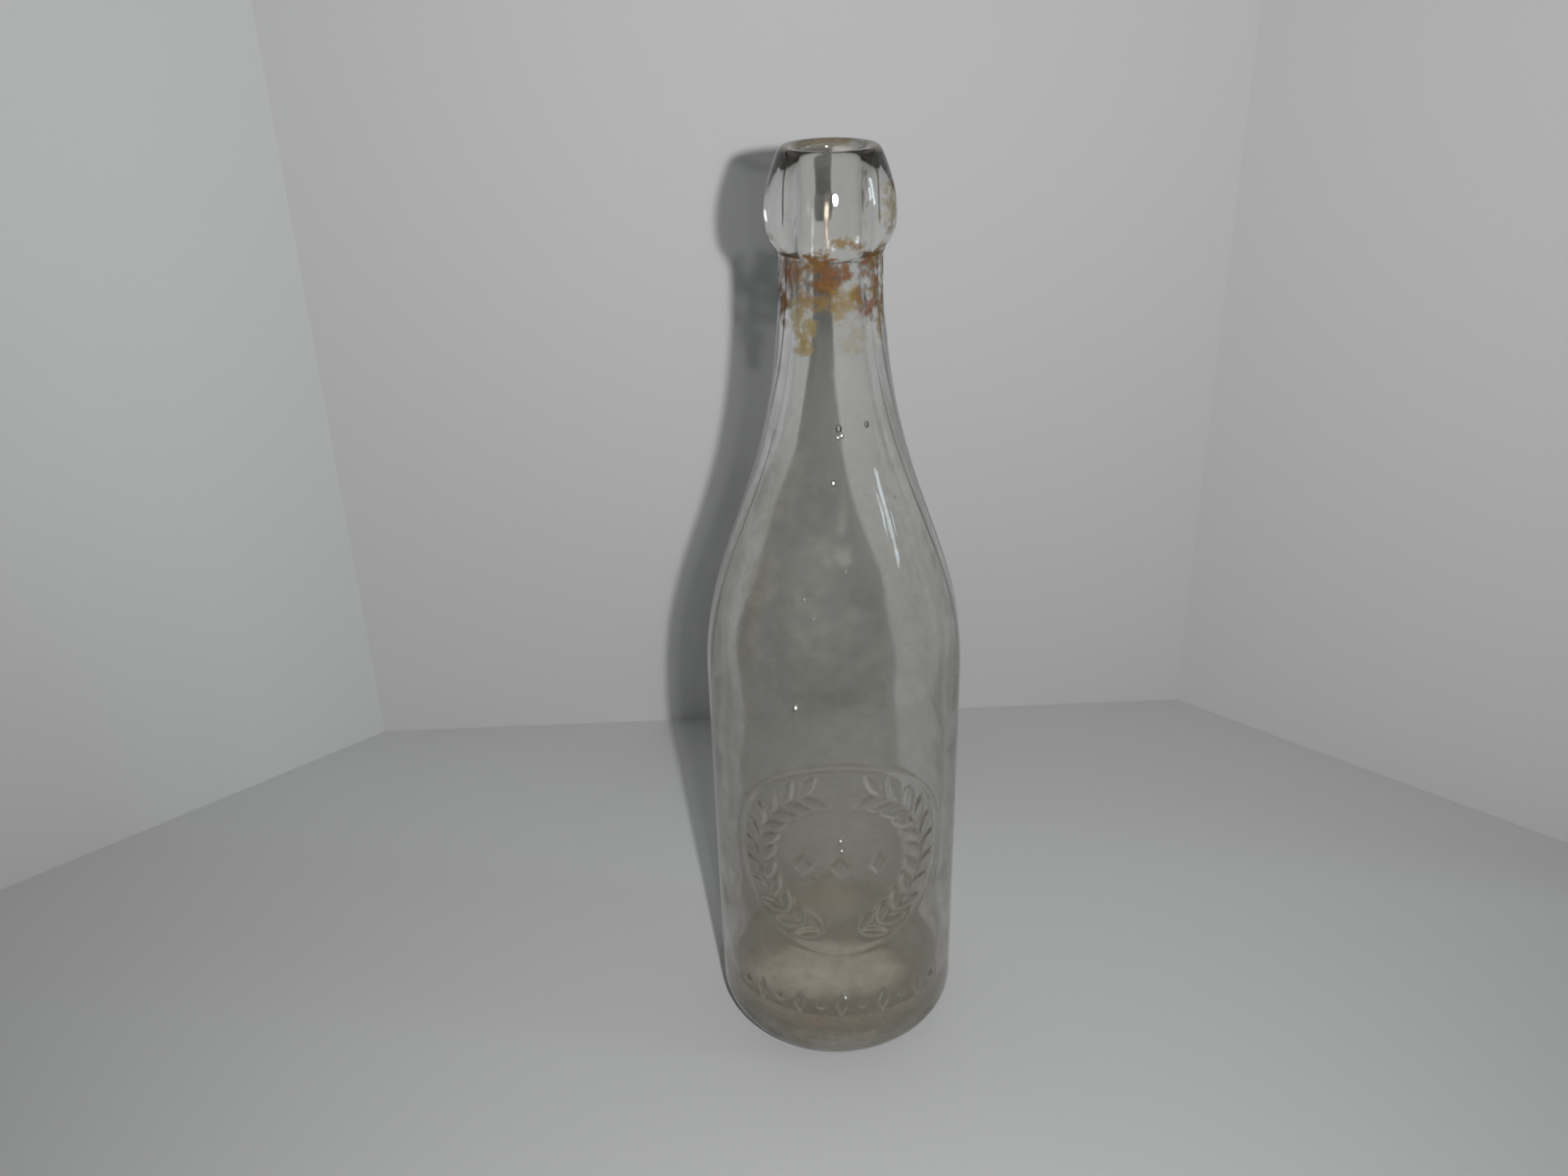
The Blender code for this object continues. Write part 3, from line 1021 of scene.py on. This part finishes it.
@dataclass
class WireRust:
    """Rust that the closure's wire left round the neck and under the lip, with its runs."""

    outline: BottleOutline
    finish: bpy.types.Material
    lowest: float = 190.0 * MM
    highest: float = 229.0 * MM
    low_fade: float = 2.0 * MM
    high_fade: float = 1.5 * MM
    bore_margin: float = 1.0 * MM
    spacing: float = 0.38 * MM
    seat: float = 0.03 * MM
    crust: float = 0.14 * MM
    thickness: float = 0.05 * MM
    grit: float = 0.7 * MM
    grit_depth: float = 0.4
    least: float = 0.06
    clouds: Clouds = Clouds(1.9 * MM, shrinking=2.1)
    raggedness: float = 0.8
    blotches: tuple[Blotch, ...] = (
        Blotch(-58, 209.6, 5.6, 5.0, 0.42, 0.55),
        Blotch(-56, 209.4, 2.2, 1.3, 0.80, 0.95),
        Blotch(-66, 202.6, 3.0, 5.0, 0.66, 0.50),
        Blotch(-42, 209.5, 3.0, 4.6, 0.50, 0.45),
        Blotch(-38, 201.0, 3.6, 6.0, 0.50, 0.08),
        Blotch(-31, 197.4, 2.8, 7.0, 0.62, 0.02),
        Blotch(-26, 199.4, 1.8, 4.4, 0.66, 0.04),
        Blotch(-28, 203.4, 2.4, 2.4, 0.62, 0.30),
        Blotch(-18, 212.4, 4.0, 3.0, 0.85, 0.42),
        Blotch(-7, 207.6, 3.0, 3.2, 0.96, 0.50),
        Blotch(-3, 210.6, 2.2, 1.8, 0.55, 0.85),
        Blotch(4, 210.4, 2.4, 2.2, 0.80, 0.75),
        Blotch(15, 209.4, 2.8, 1.1, 0.80, 0.90),
        Blotch(-9, 204.0, 5.0, 2.2, 0.60, 0.25),
        Blotch(8, 203.4, 2.8, 4.2, 0.54, 0.12),
        Blotch(24, 195.0, 3.0, 4.0, 0.18, 0.05),
        Blotch(60, 200.0, 1.6, 6.4, 0.45, 0.12),
        Blotch(20, 203.8, 3.2, 3.4, 0.52, 0.10),
        Blotch(27, 204.4, 1.4, 2.2, 0.85, 0.50),
        Blotch(42, 202.0, 2.6, 2.2, 0.70, 0.70),
        Blotch(53, 206.4, 2.4, 3.8, 0.70, 0.45),
        Blotch(67, 202.6, 1.8, 6.4, 0.62, 0.25),
        Blotch(50, 212.6, 5.0, 3.0, 0.66, 0.35),
        Blotch(37, 212.4, 1.0, 1.3, 1.00, 1.00),
        Blotch(33, 209.6, 2.2, 1.2, 0.45, 0.60),
        Blotch(10, 217.0, 3.0, 1.2, 0.62, 0.20),
        Blotch(22, 216.0, 1.8, 0.8, 0.60, 0.40),
        Blotch(64, 223.0, 4.4, 5.4, 0.42, 0.02),
        Blotch(60, 218.6, 2.0, 2.0, 0.35, 0.20),
        Blotch(-78, 216.5, 3.0, 2.0, 0.25, 0.10),
        Blotch(-35, 213.8, 0.6, 0.6, 1.00, 1.00),
        Blotch(0, 213.2, 1.5, 0.5, 1.00, 1.00),
        Blotch(100, 209.5, 6.0, 3.4, 0.55, 0.60),
        Blotch(112, 202.0, 2.2, 4.6, 0.50, 0.20),
        Blotch(150, 210.8, 6.0, 2.4, 0.60, 0.70),
        Blotch(168, 205.0, 2.2, 3.6, 0.50, 0.30),
        Blotch(-160, 210.0, 5.0, 3.0, 0.55, 0.50),
        Blotch(-140, 203.0, 1.8, 4.6, 0.45, 0.15),
        Blotch(-112, 210.5, 5.5, 2.6, 0.55, 0.65),
        Blotch(-96, 203.5, 2.0, 3.6, 0.50, 0.35),
    )

    def rows(self) -> Points:
        """The line up the neck and under the lip that the crust lies on.

        Returns:
            Rows of radius, height and the two parts of the outward direction.
        """
        line = np.concatenate([self.outline.outer_wall(), self.outline.lip_skin()[::-1]])
        line = respaced(line, evenly(self.spacing))
        radii, heights = line.T
        outside = radii > self.outline.neck_radius - self.bore_margin
        line = line[(heights > self.lowest) & (heights < self.highest) & outside]
        return np.concatenate([line, outward(line)], 1)

    def fade(self, height: float) -> float:
        """Share of the rust that is left at a height, near the ends of the line."""
        rise = smooth_step(self.lowest, self.lowest + self.low_fade, height)
        return rise * (1.0 - smooth_step(self.highest - self.high_fade, self.highest, height))

    def build(self) -> bpy.types.Object:
        """Build the crust as thin patches, thicker where the rust is strong."""
        stain = Stain(self.blotches, self.clouds, self.raggedness)
        count = int(math.tau * self.outline.neck_radius / self.spacing)
        sheet = StainSheet()
        for radius, height, out_r, out_z in self.rows():
            fade = self.fade(height)
            sheet.start_row()
            for column in range(count):
                turn = math.tau * column / count
                away = point_at(1.0, turn, 0.0)
                point = away * radius + Vector((0.0, 0.0, height))
                strength, tone = stain.at(point, turn)
                strength *= fade
                grit = 1.0 - self.grit_depth * (1.0 - noise.noise(point / self.grit))
                lift = self.seat + self.thickness + self.crust * strength * strength * grit
                lifted = point + away * (out_r * lift) + Vector((0.0, 0.0, out_z * lift))
                sheet.add(lifted, strength, tone)
        mesh = sheet.mesh("neck_rust", self.finish)
        self.keep_patches(mesh, sheet.strengths)
        piece = placed(mesh)
        shell = piece.modifiers.new("crust_thickness", "SOLIDIFY")
        shell.thickness = self.thickness
        shell.offset = -1.0
        return piece

    def keep_patches(self, mesh: bpy.types.Mesh, strengths: Sequence[float]) -> None:
        """Delete the faces where there is no rust."""
        form = bmesh.new()
        form.from_mesh(mesh)
        bare = [
            face for face in form.faces
            if max(strengths[corner.index] for corner in face.verts) < self.least
        ]
        bmesh.ops.delete(form, geom=bare, context="FACES")
        form.to_mesh(mesh)
        form.free()


@dataclass
class DriedFilmAndPaintedLight:
    """The thin film that dried on the inside of the glass, thicker and browner towards the foot.
    Some of its blotches paint light and shade: a pale streak in the mouth and darker strips down the
    sides.
    """

    outline: BottleOutline
    body: BlownBody
    finish: bpy.types.Material
    depth: float = 0.06 * MM
    columns: int = 144
    spacing: float = 1.6 * MM
    mouth_spacing: float = 0.3 * MM
    mouth_from: float = 226.0 * MM
    rim_reach: float = 3.6 * MM
    covers: Covers = Covers((
        (5.0, 0.45), (9.0, 0.46), (20.0, 0.36), (45.0, 0.33), (75.0, 0.28), (110.0, 0.25),
        (150.0, 0.19), (180.0, 0.09), (205.0, 0.05), (232.8, 0.05), (234.0, 0.45), (234.8, 0.75),
    ))
    most: float = 0.95
    pool_centre: tuple[float, float] = (-2.0 * MM, 2.0 * MM)
    pool_half: tuple[float, float] = (32.0 * MM, 17.0 * MM)
    pool_cover: float = 0.75
    pool_paleness: int = 6
    near_rim_share: float = 0.1
    wiped_to: float = math.radians(38)
    wiped_fade: float = math.radians(40)
    dark_share: float = 0.2
    mouth_tone: float = 0.45
    foot_tone: float = 0.5
    grey_from: tuple[float, float] = (10.0 * MM, 120.0 * MM)
    blotch_pull: float = 1.8
    slow: Clouds = Clouds(15.0 * MM, weakening=0.8)
    slow_depth: float = 0.28
    clouds: Clouds = Clouds(9.0 * MM, shrinking=2.1)
    raggedness: float = 0.6
    blotches: tuple[Blotch, ...] = (
        Blotch(9, 187.0, 2.6, 8.0, 0.35, 0.0),
        Blotch(4, 146.5, 2.6, 3.0, 0.30, 0.0),
        Blotch(5, 156.0, 1.8, 6.0, 0.16, 0.0),
        Blotch(-5, 146.0, 1.6, 2.0, 0.22, 0.0),
        Blotch(9, 134.0, 3.0, 2.4, 0.16, 0.0),
        Blotch(-14, 148.0, 3.0, 3.0, 0.14, 0.0),
        Blotch(-18, 138.0, 9.0, 12.0, 0.12, 0.25),
        Blotch(-52, 151.0, 2.0, 4.0, 0.22, 0.6),
        Blotch(-12, 56.0, 12.0, 5.0, 0.16, 0.55),
        Blotch(-14, 13.0, 7.0, 2.4, 0.35, 0.72),
        Blotch(12, 12.0, 8.0, 2.0, 0.22, 0.65),
        # The next two darkest strips on the right side are painted shade: the dark band along the
        # bottle's right edge.
        Blotch(80, 76.0, 9.0, 78.0, 0.42, -0.20),
        Blotch(85, 168.0, 5.0, 34.0, 0.26, -0.20),
        # These four darken the left side of the body. The two at -48 and -55 degrees paint shade
        # where the edge of the bottle's shadow shows through the glass.
        Blotch(-80, 110.0, 9.0, 70.0, 0.22, 0.3),
        Blotch(-50, 95.0, 6.0, 60.0, 0.12, 0.45),
        Blotch(-48, 136.0, 6.0, 18.0, 0.38, 0.25),
        Blotch(-55, 158.0, 7.0, 20.0, 0.34, 0.20),
        Blotch(180, 11.0, 15.0, 7.0, 0.32, 0.50),
        Blotch(-50, 206.0, 5.0, 8.0, 0.40, 0.30),
        Blotch(14, 206.0, 6.0, 7.0, 0.22, 0.20),
        # These three narrow pale streaks in the mouth are a painted highlight: the vertical
        # reflection of the key light in the bore.
        Blotch(-7.5, 223.0, 0.70, 3.4, 0.95, 1.0),
        Blotch(-7.5, 218.0, 0.45, 1.7, 0.75, 0.95),
        Blotch(-7.0, 214.4, 0.55, 1.8, 0.80, 0.90),
        Blotch(128, 233.6, 3.6, 2.2, 0.85, -0.05),
    )

    def row_spacing(self, rows: Points) -> Points:
        """Distance wanted between rows of points: small at the mouth."""
        return np.where(rows[:, 1] > self.mouth_from, self.mouth_spacing, self.spacing)

    def profile(self) -> Points:
        """The line that the film lies on, from the centre of the floor up over the rim."""
        rim = self.outline.lip_skin()[1:2 * (self.outline.rim_steps + 1)]
        wall, bore = self.outline.inside()[::-1], self.outline.lip_bore_line()[1:]
        line = respaced(np.concatenate([wall, bore, rim]), self.row_spacing)
        below_lip = line[:, 1] < self.outline.neck_end
        line = line[below_lip | (line[:, 0] < self.outline.lip_bore + self.rim_reach)]
        line = line + outward(line) * self.depth
        line[0, 0] = self.depth
        return line

    def base_tone(self, height: float) -> float:
        """Tone of the plain film: brown low on the wall and at the mouth, grey between."""
        if height > self.outline.lip_base:
            return self.mouth_tone
        return self.foot_tone * (1.0 - smooth_step(*self.grey_from, height))

    def pool(self, point: Vector) -> float:
        """Share of the pale pool that dried on the floor, 1 in its middle and 0 outside it."""
        if point.z > 2 * self.outline.inner_heel_radius:
            return 0.0
        across = (point.x - self.pool_centre[0]) / self.pool_half[0]
        along = (point.y - self.pool_centre[1]) / self.pool_half[1]
        return 1.0 - smooth_step(0.0, 1.0, math.hypot(across, along))

    def rim_share(self, turn: float, height: float) -> float:
        """Share of the film that is left at a turn: the near side of the mouth is wiped clean."""
        if height < self.outline.neck_end:
            return 1.0
        from_front = min(turn, math.tau - turn)
        behind = smooth_step(self.wiped_to, self.wiped_to + self.wiped_fade, from_front)
        return self.near_rim_share + (1.0 - self.near_rim_share) * behind

    def build(self) -> bpy.types.Object:
        """Build the film from the centre of the floor up to the mouth."""
        stain = Stain(self.blotches, self.clouds, self.raggedness)
        turns = np.linspace(0.0, math.tau, self.columns, endpoint=False)
        sheet = StainSheet()
        for radius, height in self.profile():
            cover = self.covers.at(height)
            plain = self.base_tone(height)
            even, level = np.full(turns.shape, radius), np.full(turns.shape, height)
            sheet.start_row()
            for turn, wavy in zip(turns, self.body.bore(even, turns, level)):
                point = point_at(wavy, turn, height)
                strength, tone = stain.at(point, turn)
                pool = self.pool(point)
                film = cover * self.rim_share(turn, height)
                film *= 1.0 + self.slow_depth * self.slow.at(point)
                here = film + strength + self.pool_cover * pool
                tone = plain + (tone - plain) * min(1.0, strength * self.blotch_pull)
                tone = 1.0 - (1.0 - tone) * (1.0 - pool) ** self.pool_paleness
                tone = self.dark_share + (1.0 - self.dark_share) * tone
                sheet.add(point, min(self.most, max(0.0, here)), tone)
        return placed(sheet.mesh("dried_film_and_painted_light", self.finish))


@dataclass
class OuterHazeAndPaintedHeelLight:
    """Dust and wear on the outside: scuffs at the foot and heel, a thin haze, dust at the marks.
    Its band round the heel is also painted light: a lighter ring where light comes through the heel.
    """

    outline: BottleOutline
    body: BlownBody
    finish: bpy.types.Material
    depth: float = 0.08 * MM
    # Thickest in a band round the heel, at 10.2 mm: besides scuffs, this band paints the lighter ring
    # that light through the heel gives.
    covers: Covers = Covers((
        (0.0, 0.12), (3.0, 0.34), (7.5, 0.42), (10.2, 0.70), (13.0, 0.22),
        (18.0, 0.08), (40.0, 0.05), (90.0, 0.04), (125.0, 0.02), (150.0, 0.0),
    ))
    edge_cover: float = 0.28
    tone: float = 0.36
    clouds: Clouds = Clouds(7.0 * MM)
    cloud_depth: float = 0.5

    def build(self) -> bpy.types.Object:
        """Build the haze from the foot ring up to the shoulder, just within the skin."""
        top = self.covers.rows[-1][0] * MM
        line = respaced(self.outline.outside(), self.body.spacing)
        line = line[(line[:, 1] < top) & (line[:, 0] > self.outline.foot_ring_inner)]
        line = line - outward(line) * self.depth
        turns = self.body.columns()
        sheet = StainSheet()
        for radius, height in line:
            level = np.full(turns.shape, height)
            cover = self.covers.at(height)
            radii = radius + self.body.unevenness(turns, level)
            edges = self.edge_cover * self.body.embossing.edge_share(turns, level)
            sheet.start_row()
            for turn, wavy, edge in zip(turns, radii, edges):
                point = point_at(wavy, turn, height)
                swing = 1.0 + self.cloud_depth * self.clouds.at(point)
                sheet.add(point, (cover + edge) * swing, self.tone)
        return placed(sheet.mesh("outer_haze_and_painted_heel_light", self.finish))


@dataclass(frozen=True)
class Seed:
    """A bubble in the wall, with a pale grain in it where the grain's radius isn't nought.
    The grain glows faintly: it is a painted glint of light in the bubble.

    Its turn is in degrees, the rest in millimetres.
    """

    turn: float
    height: float
    radius: float
    grain: float = 0.0


@dataclass
class Seeds:
    """Small bubbles in the glass of the wall, as blown glass has, with glowing grains in some
    of them that paint the glints of light in the bubbles.
    """

    outline: BottleOutline
    glass: bpy.types.Material
    # the grains' finish, whose faint glow paints the bubbles' glints
    pale: bpy.types.Material
    stretch: float = 1.5
    subdivisions: int = 3
    grain_tone: float = 0.5
    seeds: tuple[Seed, ...] = (
        Seed(3.9, 175.3, 0.72), Seed(2.8, 173.4, 0.40, 0.34), Seed(32.5, 175.5, 0.55),
        Seed(6.6, 173.8, 0.48, 0.42), Seed(-1.6, 163.4, 0.56, 0.50),
        Seed(-19.5, 111.8, 0.72, 0.60), Seed(0.0, 74.3, 0.50, 0.44),
        Seed(0.5, 71.3, 0.46, 0.40), Seed(1.8, 23.3, 0.66, 0.60),
        Seed(-17.7, 137.9, 0.28, 0.22), Seed(-12.3, 133.7, 0.24, 0.19),
        Seed(120.0, 150.0, 0.40), Seed(-100.0, 90.0, 0.35, 0.2), Seed(170.0, 120.0, 0.45, 0.3),
        Seed(-150.0, 60.0, 0.30), Seed(80.0, 40.0, 0.35),
    )

    def place(self, seed: Seed, offset: float) -> Matrix:
        """Where a seed lies, this far outward of the middle of the wall."""
        level = seed.height * MM
        walls = (self.outline.outer_wall(), self.outline.inner_wall())
        outer, inner = (float(np.interp(level, wall[:, 1], wall[:, 0])) for wall in walls)
        middle = (outer + inner) / 2 + offset
        return Matrix.Translation(point_at(middle, math.radians(seed.turn), level))

    def balls(self, name: str, places: Sequence[Matrix], hollow: bool,
              material: bpy.types.Material) -> bpy.types.Mesh:
        """A mesh of small balls.

        Args:
            name: Name of the mesh.
            places: Place and size of each ball of radius 1.
            hollow: True for bubbles, whose faces look inward, out of the glass.
            material: Their material.

        Returns:
            The mesh, smooth shaded.
        """
        form = bmesh.new()
        for place in places:
            bmesh.ops.create_icosphere(
                form, subdivisions=self.subdivisions, radius=1.0, matrix=place)
        if hollow:
            bmesh.ops.reverse_faces(form, faces=form.faces)
        mesh = bpy.data.meshes.new(name)
        form.to_mesh(mesh)
        form.free()
        mesh.shade_smooth()
        mesh.materials.append(material)
        return mesh

    def build(self) -> list[bpy.types.Object]:
        """Build the bubbles as egg-shaped hollows within the wall, and the glowing grains in them
        that paint their glints.
        """
        hollows: list[Matrix] = []
        grains: list[Matrix] = []
        for seed in self.seeds:
            radius, grain = seed.radius * MM, seed.grain * MM
            egg = Matrix.Diagonal((radius, radius, radius * self.stretch, 1.0))
            hollows.append(self.place(seed, 0.0) @ egg)
            if seed.grain:
                grains.append(self.place(seed, (radius - grain) / 2) @ Matrix.Scale(grain, 4))
        bubbles = self.balls("seed_bubbles", hollows, True, self.glass)
        glint_grain_mesh = self.balls("seed_grains_painted_glints", grains, False, self.pale)
        count = len(glint_grain_mesh.vertices)
        paint(glint_grain_mesh, [1.0] * count, [self.grain_tone] * count)
        return [placed(bubbles), placed(glint_grain_mesh)]


@dataclass(frozen=True)
class Lamp:
    """A round lamp beside the camera: its name, radius in metres, power in watts and side step.

    One that lights no matt surface shows only as a glare on the glass.
    """

    name: str
    radius: float
    power: float
    side_step: float = 0.0
    lights_matt: bool = True


@dataclass(frozen=True)
class Pane:
    """A pane of the window: its angle round the bottle in degrees, width and height in metres."""

    turn: float
    width: float
    height: float


@dataclass
class Studio:
    """Floor, backdrop, light and camera, placed as they were for the photograph.

    Lens and sensor are in millimetres, the window's radiant power in watts for a square metre.
    """

    camera_place: tuple[float, float, float] = (-0.01230, -0.30504, 0.28273)
    camera_pitch: float = math.radians(26.755)
    camera_roll: float = math.radians(1.526)
    lens: float = 31.5
    sensor: float = 36.0
    clip: tuple[float, float] = (0.01, 20.0)
    board_colour: Colour = (0.622, 0.624, 0.621)
    board_roughness: float = 0.85
    floor_half: float = 3.0
    wall_back: float = 0.1465
    wall_left: float = -0.167
    wall_right: float = 0.139
    wall_skew: float = 0.004
    wall_height: float = 0.33
    wing_length: float = 0.2
    wing_slant: float = math.radians(42)
    key_place: tuple[float, float, float] = (0.020, -0.298, 0.288)
    key_aim: tuple[float, float, float] = (0.0, 0.0, 0.24)
    lamps: tuple[Lamp, ...] = (
        Lamp("key", 0.0035, 1.02),
        Lamp("soft_key", 0.009, 0.21),
        Lamp("glare", 0.027, 0.22, side_step=0.016, lights_matt=False),
    )
    window_distance: float = 1.1
    window_height: float = 0.40
    window_aim: tuple[float, float, float] = (0.0, 0.0, 0.16)
    window_radiant: float = 28.0
    window_colour: Colour = (0.80, 0.92, 1.0)
    panes: tuple[Pane, ...] = (Pane(73.0, 0.085, 0.16), Pane(79.5, 0.10, 0.30))
    room_colour: Colour = (0.047, 0.0485, 0.0495)

    def camera(self) -> None:
        """Place the camera of the photograph."""
        data = bpy.data.cameras.new("camera")
        data.lens = self.lens
        data.sensor_width = self.sensor
        data.clip_start, data.clip_end = self.clip
        camera = bpy.data.objects.new("camera", data)
        bpy.context.scene.collection.objects.link(camera)
        tilt = Matrix.Rotation(math.pi / 2 - self.camera_pitch, 4, "X")
        roll = Matrix.Rotation(-self.camera_roll, 4, "Z")
        camera.matrix_world = Matrix.Translation(self.camera_place) @ tilt @ roll
        bpy.context.scene.camera = camera

    def board(self) -> bpy.types.Material:
        """Pale matt board, seen from its front only."""
        material, shader = new_material("pale_board", {
            "Base Color": opaque(self.board_colour), "Roughness": self.board_roughness,
        })
        tree = material.node_tree
        side = add_node(tree, "ShaderNodeNewGeometry", {})
        pass_straight(tree, shader, side.outputs["Backfacing"])
        return material

    def backdrop(self) -> None:
        """A large floor and three upright panels behind the bottle."""
        board = self.board()
        half = self.floor_half
        corners = [(-half, -half, 0), (half, -half, 0), (half, half, 0), (-half, half, 0)]
        floor = bpy.data.meshes.new("studio_floor")
        floor.from_pydata(corners, [], [(0, 1, 2, 3)])
        wing_width = self.wing_length * math.cos(self.wing_slant)
        wing_end = self.wall_back - self.wing_length * math.sin(self.wing_slant)
        foot = [
            (self.wall_left - wing_width, wing_end),
            (self.wall_left, self.wall_back - self.wall_skew),
            (self.wall_right, self.wall_back + self.wall_skew),
            (self.wall_right + wing_width, wing_end),
        ]
        points = [(x, y, z) for z in (0.0, self.wall_height) for x, y in foot]
        panels = bpy.data.meshes.new("studio_panels")
        panels.from_pydata(points, [], [(i, i + 1, i + 5, i + 4) for i in range(3)])
        for mesh in (floor, panels):
            mesh.materials.append(board)
            piece = bpy.data.objects.new(mesh.name, mesh)
            bpy.context.scene.collection.objects.link(piece)

    def hang(self, data: bpy.types.AreaLight, place: Vector, aim: Vector) -> bpy.types.Object:
        """Hang a lamp.

        Args:
            data: Its light.
            place: Where it hangs.
            aim: The direction that it shines in.

        Returns:
            The lamp.
        """
        lamp = bpy.data.objects.new(data.name, data)
        lamp.location = place
        lamp.rotation_euler = aim.to_track_quat("-Z", "Y").to_euler()
        bpy.context.scene.collection.objects.link(lamp)
        return lamp

    def lights(self) -> None:
        """A small key light beside the camera, softer ones round it, a window and a dim room."""
        key_place = Vector(self.key_place)
        for lamp in self.lamps:
            data = bpy.data.lights.new(lamp.name, "AREA")
            data.shape = "DISK"
            data.size = 2 * lamp.radius
            data.energy = lamp.power
            place = key_place + Vector((lamp.side_step, 0.0, 0.0))
            hung = self.hang(data, place, Vector(self.key_aim) - key_place)
            hung.visible_diffuse = lamp.lights_matt
        for pane in self.panes:
            data = bpy.data.lights.new("window", "AREA")
            data.shape = "RECTANGLE"
            data.size, data.size_y = pane.width, pane.height
            data.energy = self.window_radiant * pane.width * pane.height
            data.color = self.window_colour
            place = point_at(self.window_distance, math.radians(pane.turn), self.window_height)
            self.hang(data, place, Vector(self.window_aim) - place)
        world = bpy.data.worlds.new("room")
        world.use_nodes = True
        feed(world.node_tree, world.node_tree.nodes["Background"], {
            "Color": opaque(self.room_colour),
        })
        bpy.context.scene.world = world

    def build(self) -> None:
        """Build the stage."""
        self.camera()
        self.backdrop()
        self.lights()
        bpy.context.scene.view_settings.view_transform = "Standard"


def main() -> None:
    """Build the bottle and its stage."""
    logging.basicConfig(level=logging.INFO, format="%(name)s: %(message)s")
    outline = BottleOutline()
    inner_tint = (0.95, 0.955, 0.94)
    joint = ClearGlass(
        "fused_joint", (1.0, 1.0, 1.0),
        roughness=0.0, ior=1.0, share_leaving=1.0, share_entering=1.0,
    ).material()
    body_glass = ClearGlass("clear_body_glass", (0.955, 0.96, 0.95)).material()
    lip_glass = ClearGlass("clear_lip_glass", (0.88, 0.885, 0.87)).material()
    bore_glass = ClearGlass("inner_glass", inner_tint, share_entering=0.95).material()
    floor_glass = ClearGlass(
        "dull_floor_glass", inner_tint, roughness=0.8, share_entering=0.95,
    ).material()
    rust = StainFinish(
        "wire_rust",
        ((0.22, 0.165, 0.062), (0.128, 0.058, 0.015), (0.14, 0.062, 0.036)),
        roughness=0.9, grain=620.0, mottling=0.5, most=0.95, relief=0.03 * MM,
    ).material()
    film = StainFinish(
        "dried_film_and_painted_light",
        (
            (0.15, 0.14, 0.115), (0.295, 0.29, 0.263), (0.245, 0.223, 0.172),
            (0.25, 0.21, 0.145), (0.29, 0.20, 0.135), (0.85, 0.77, 0.62),
        ),
        roughness=0.9, grain=260.0, mottling=0.3, most=1.0, relief=0.004 * MM,
    ).material()
    # The grains' faint glow is a painted highlight, for the glints of light in the bubbles.
    pale = StainFinish(
        "pale_grain_painted_glint",
        ((0.80, 0.80, 0.77), (0.66, 0.64, 0.58)),
        roughness=0.5, grain=2500.0, mottling=0.2, most=1.0, relief=0.01 * MM,
        shine=0.5, painted_glint_glow=0.32,
    ).material()
    body = BlownBody(outline, Embossing(outline), body_glass, bore_glass, floor_glass, joint)
    body.build()
    BlobLip(outline, lip_glass, bore_glass, joint).build()
    Seeds(outline, bore_glass, pale).build()
    WireRust(outline, rust).build()
    DriedFilmAndPaintedLight(outline, body, film).build()
    OuterHazeAndPaintedHeelLight(outline, body, film).build()
    Studio().build()
    cycles = bpy.context.scene.cycles
    cycles.transparent_max_bounces = TRANSPARENT_BOUNCES
    cycles.caustics_refractive = cycles.caustics_reflective = False


if __name__ == "__main__":
    main()
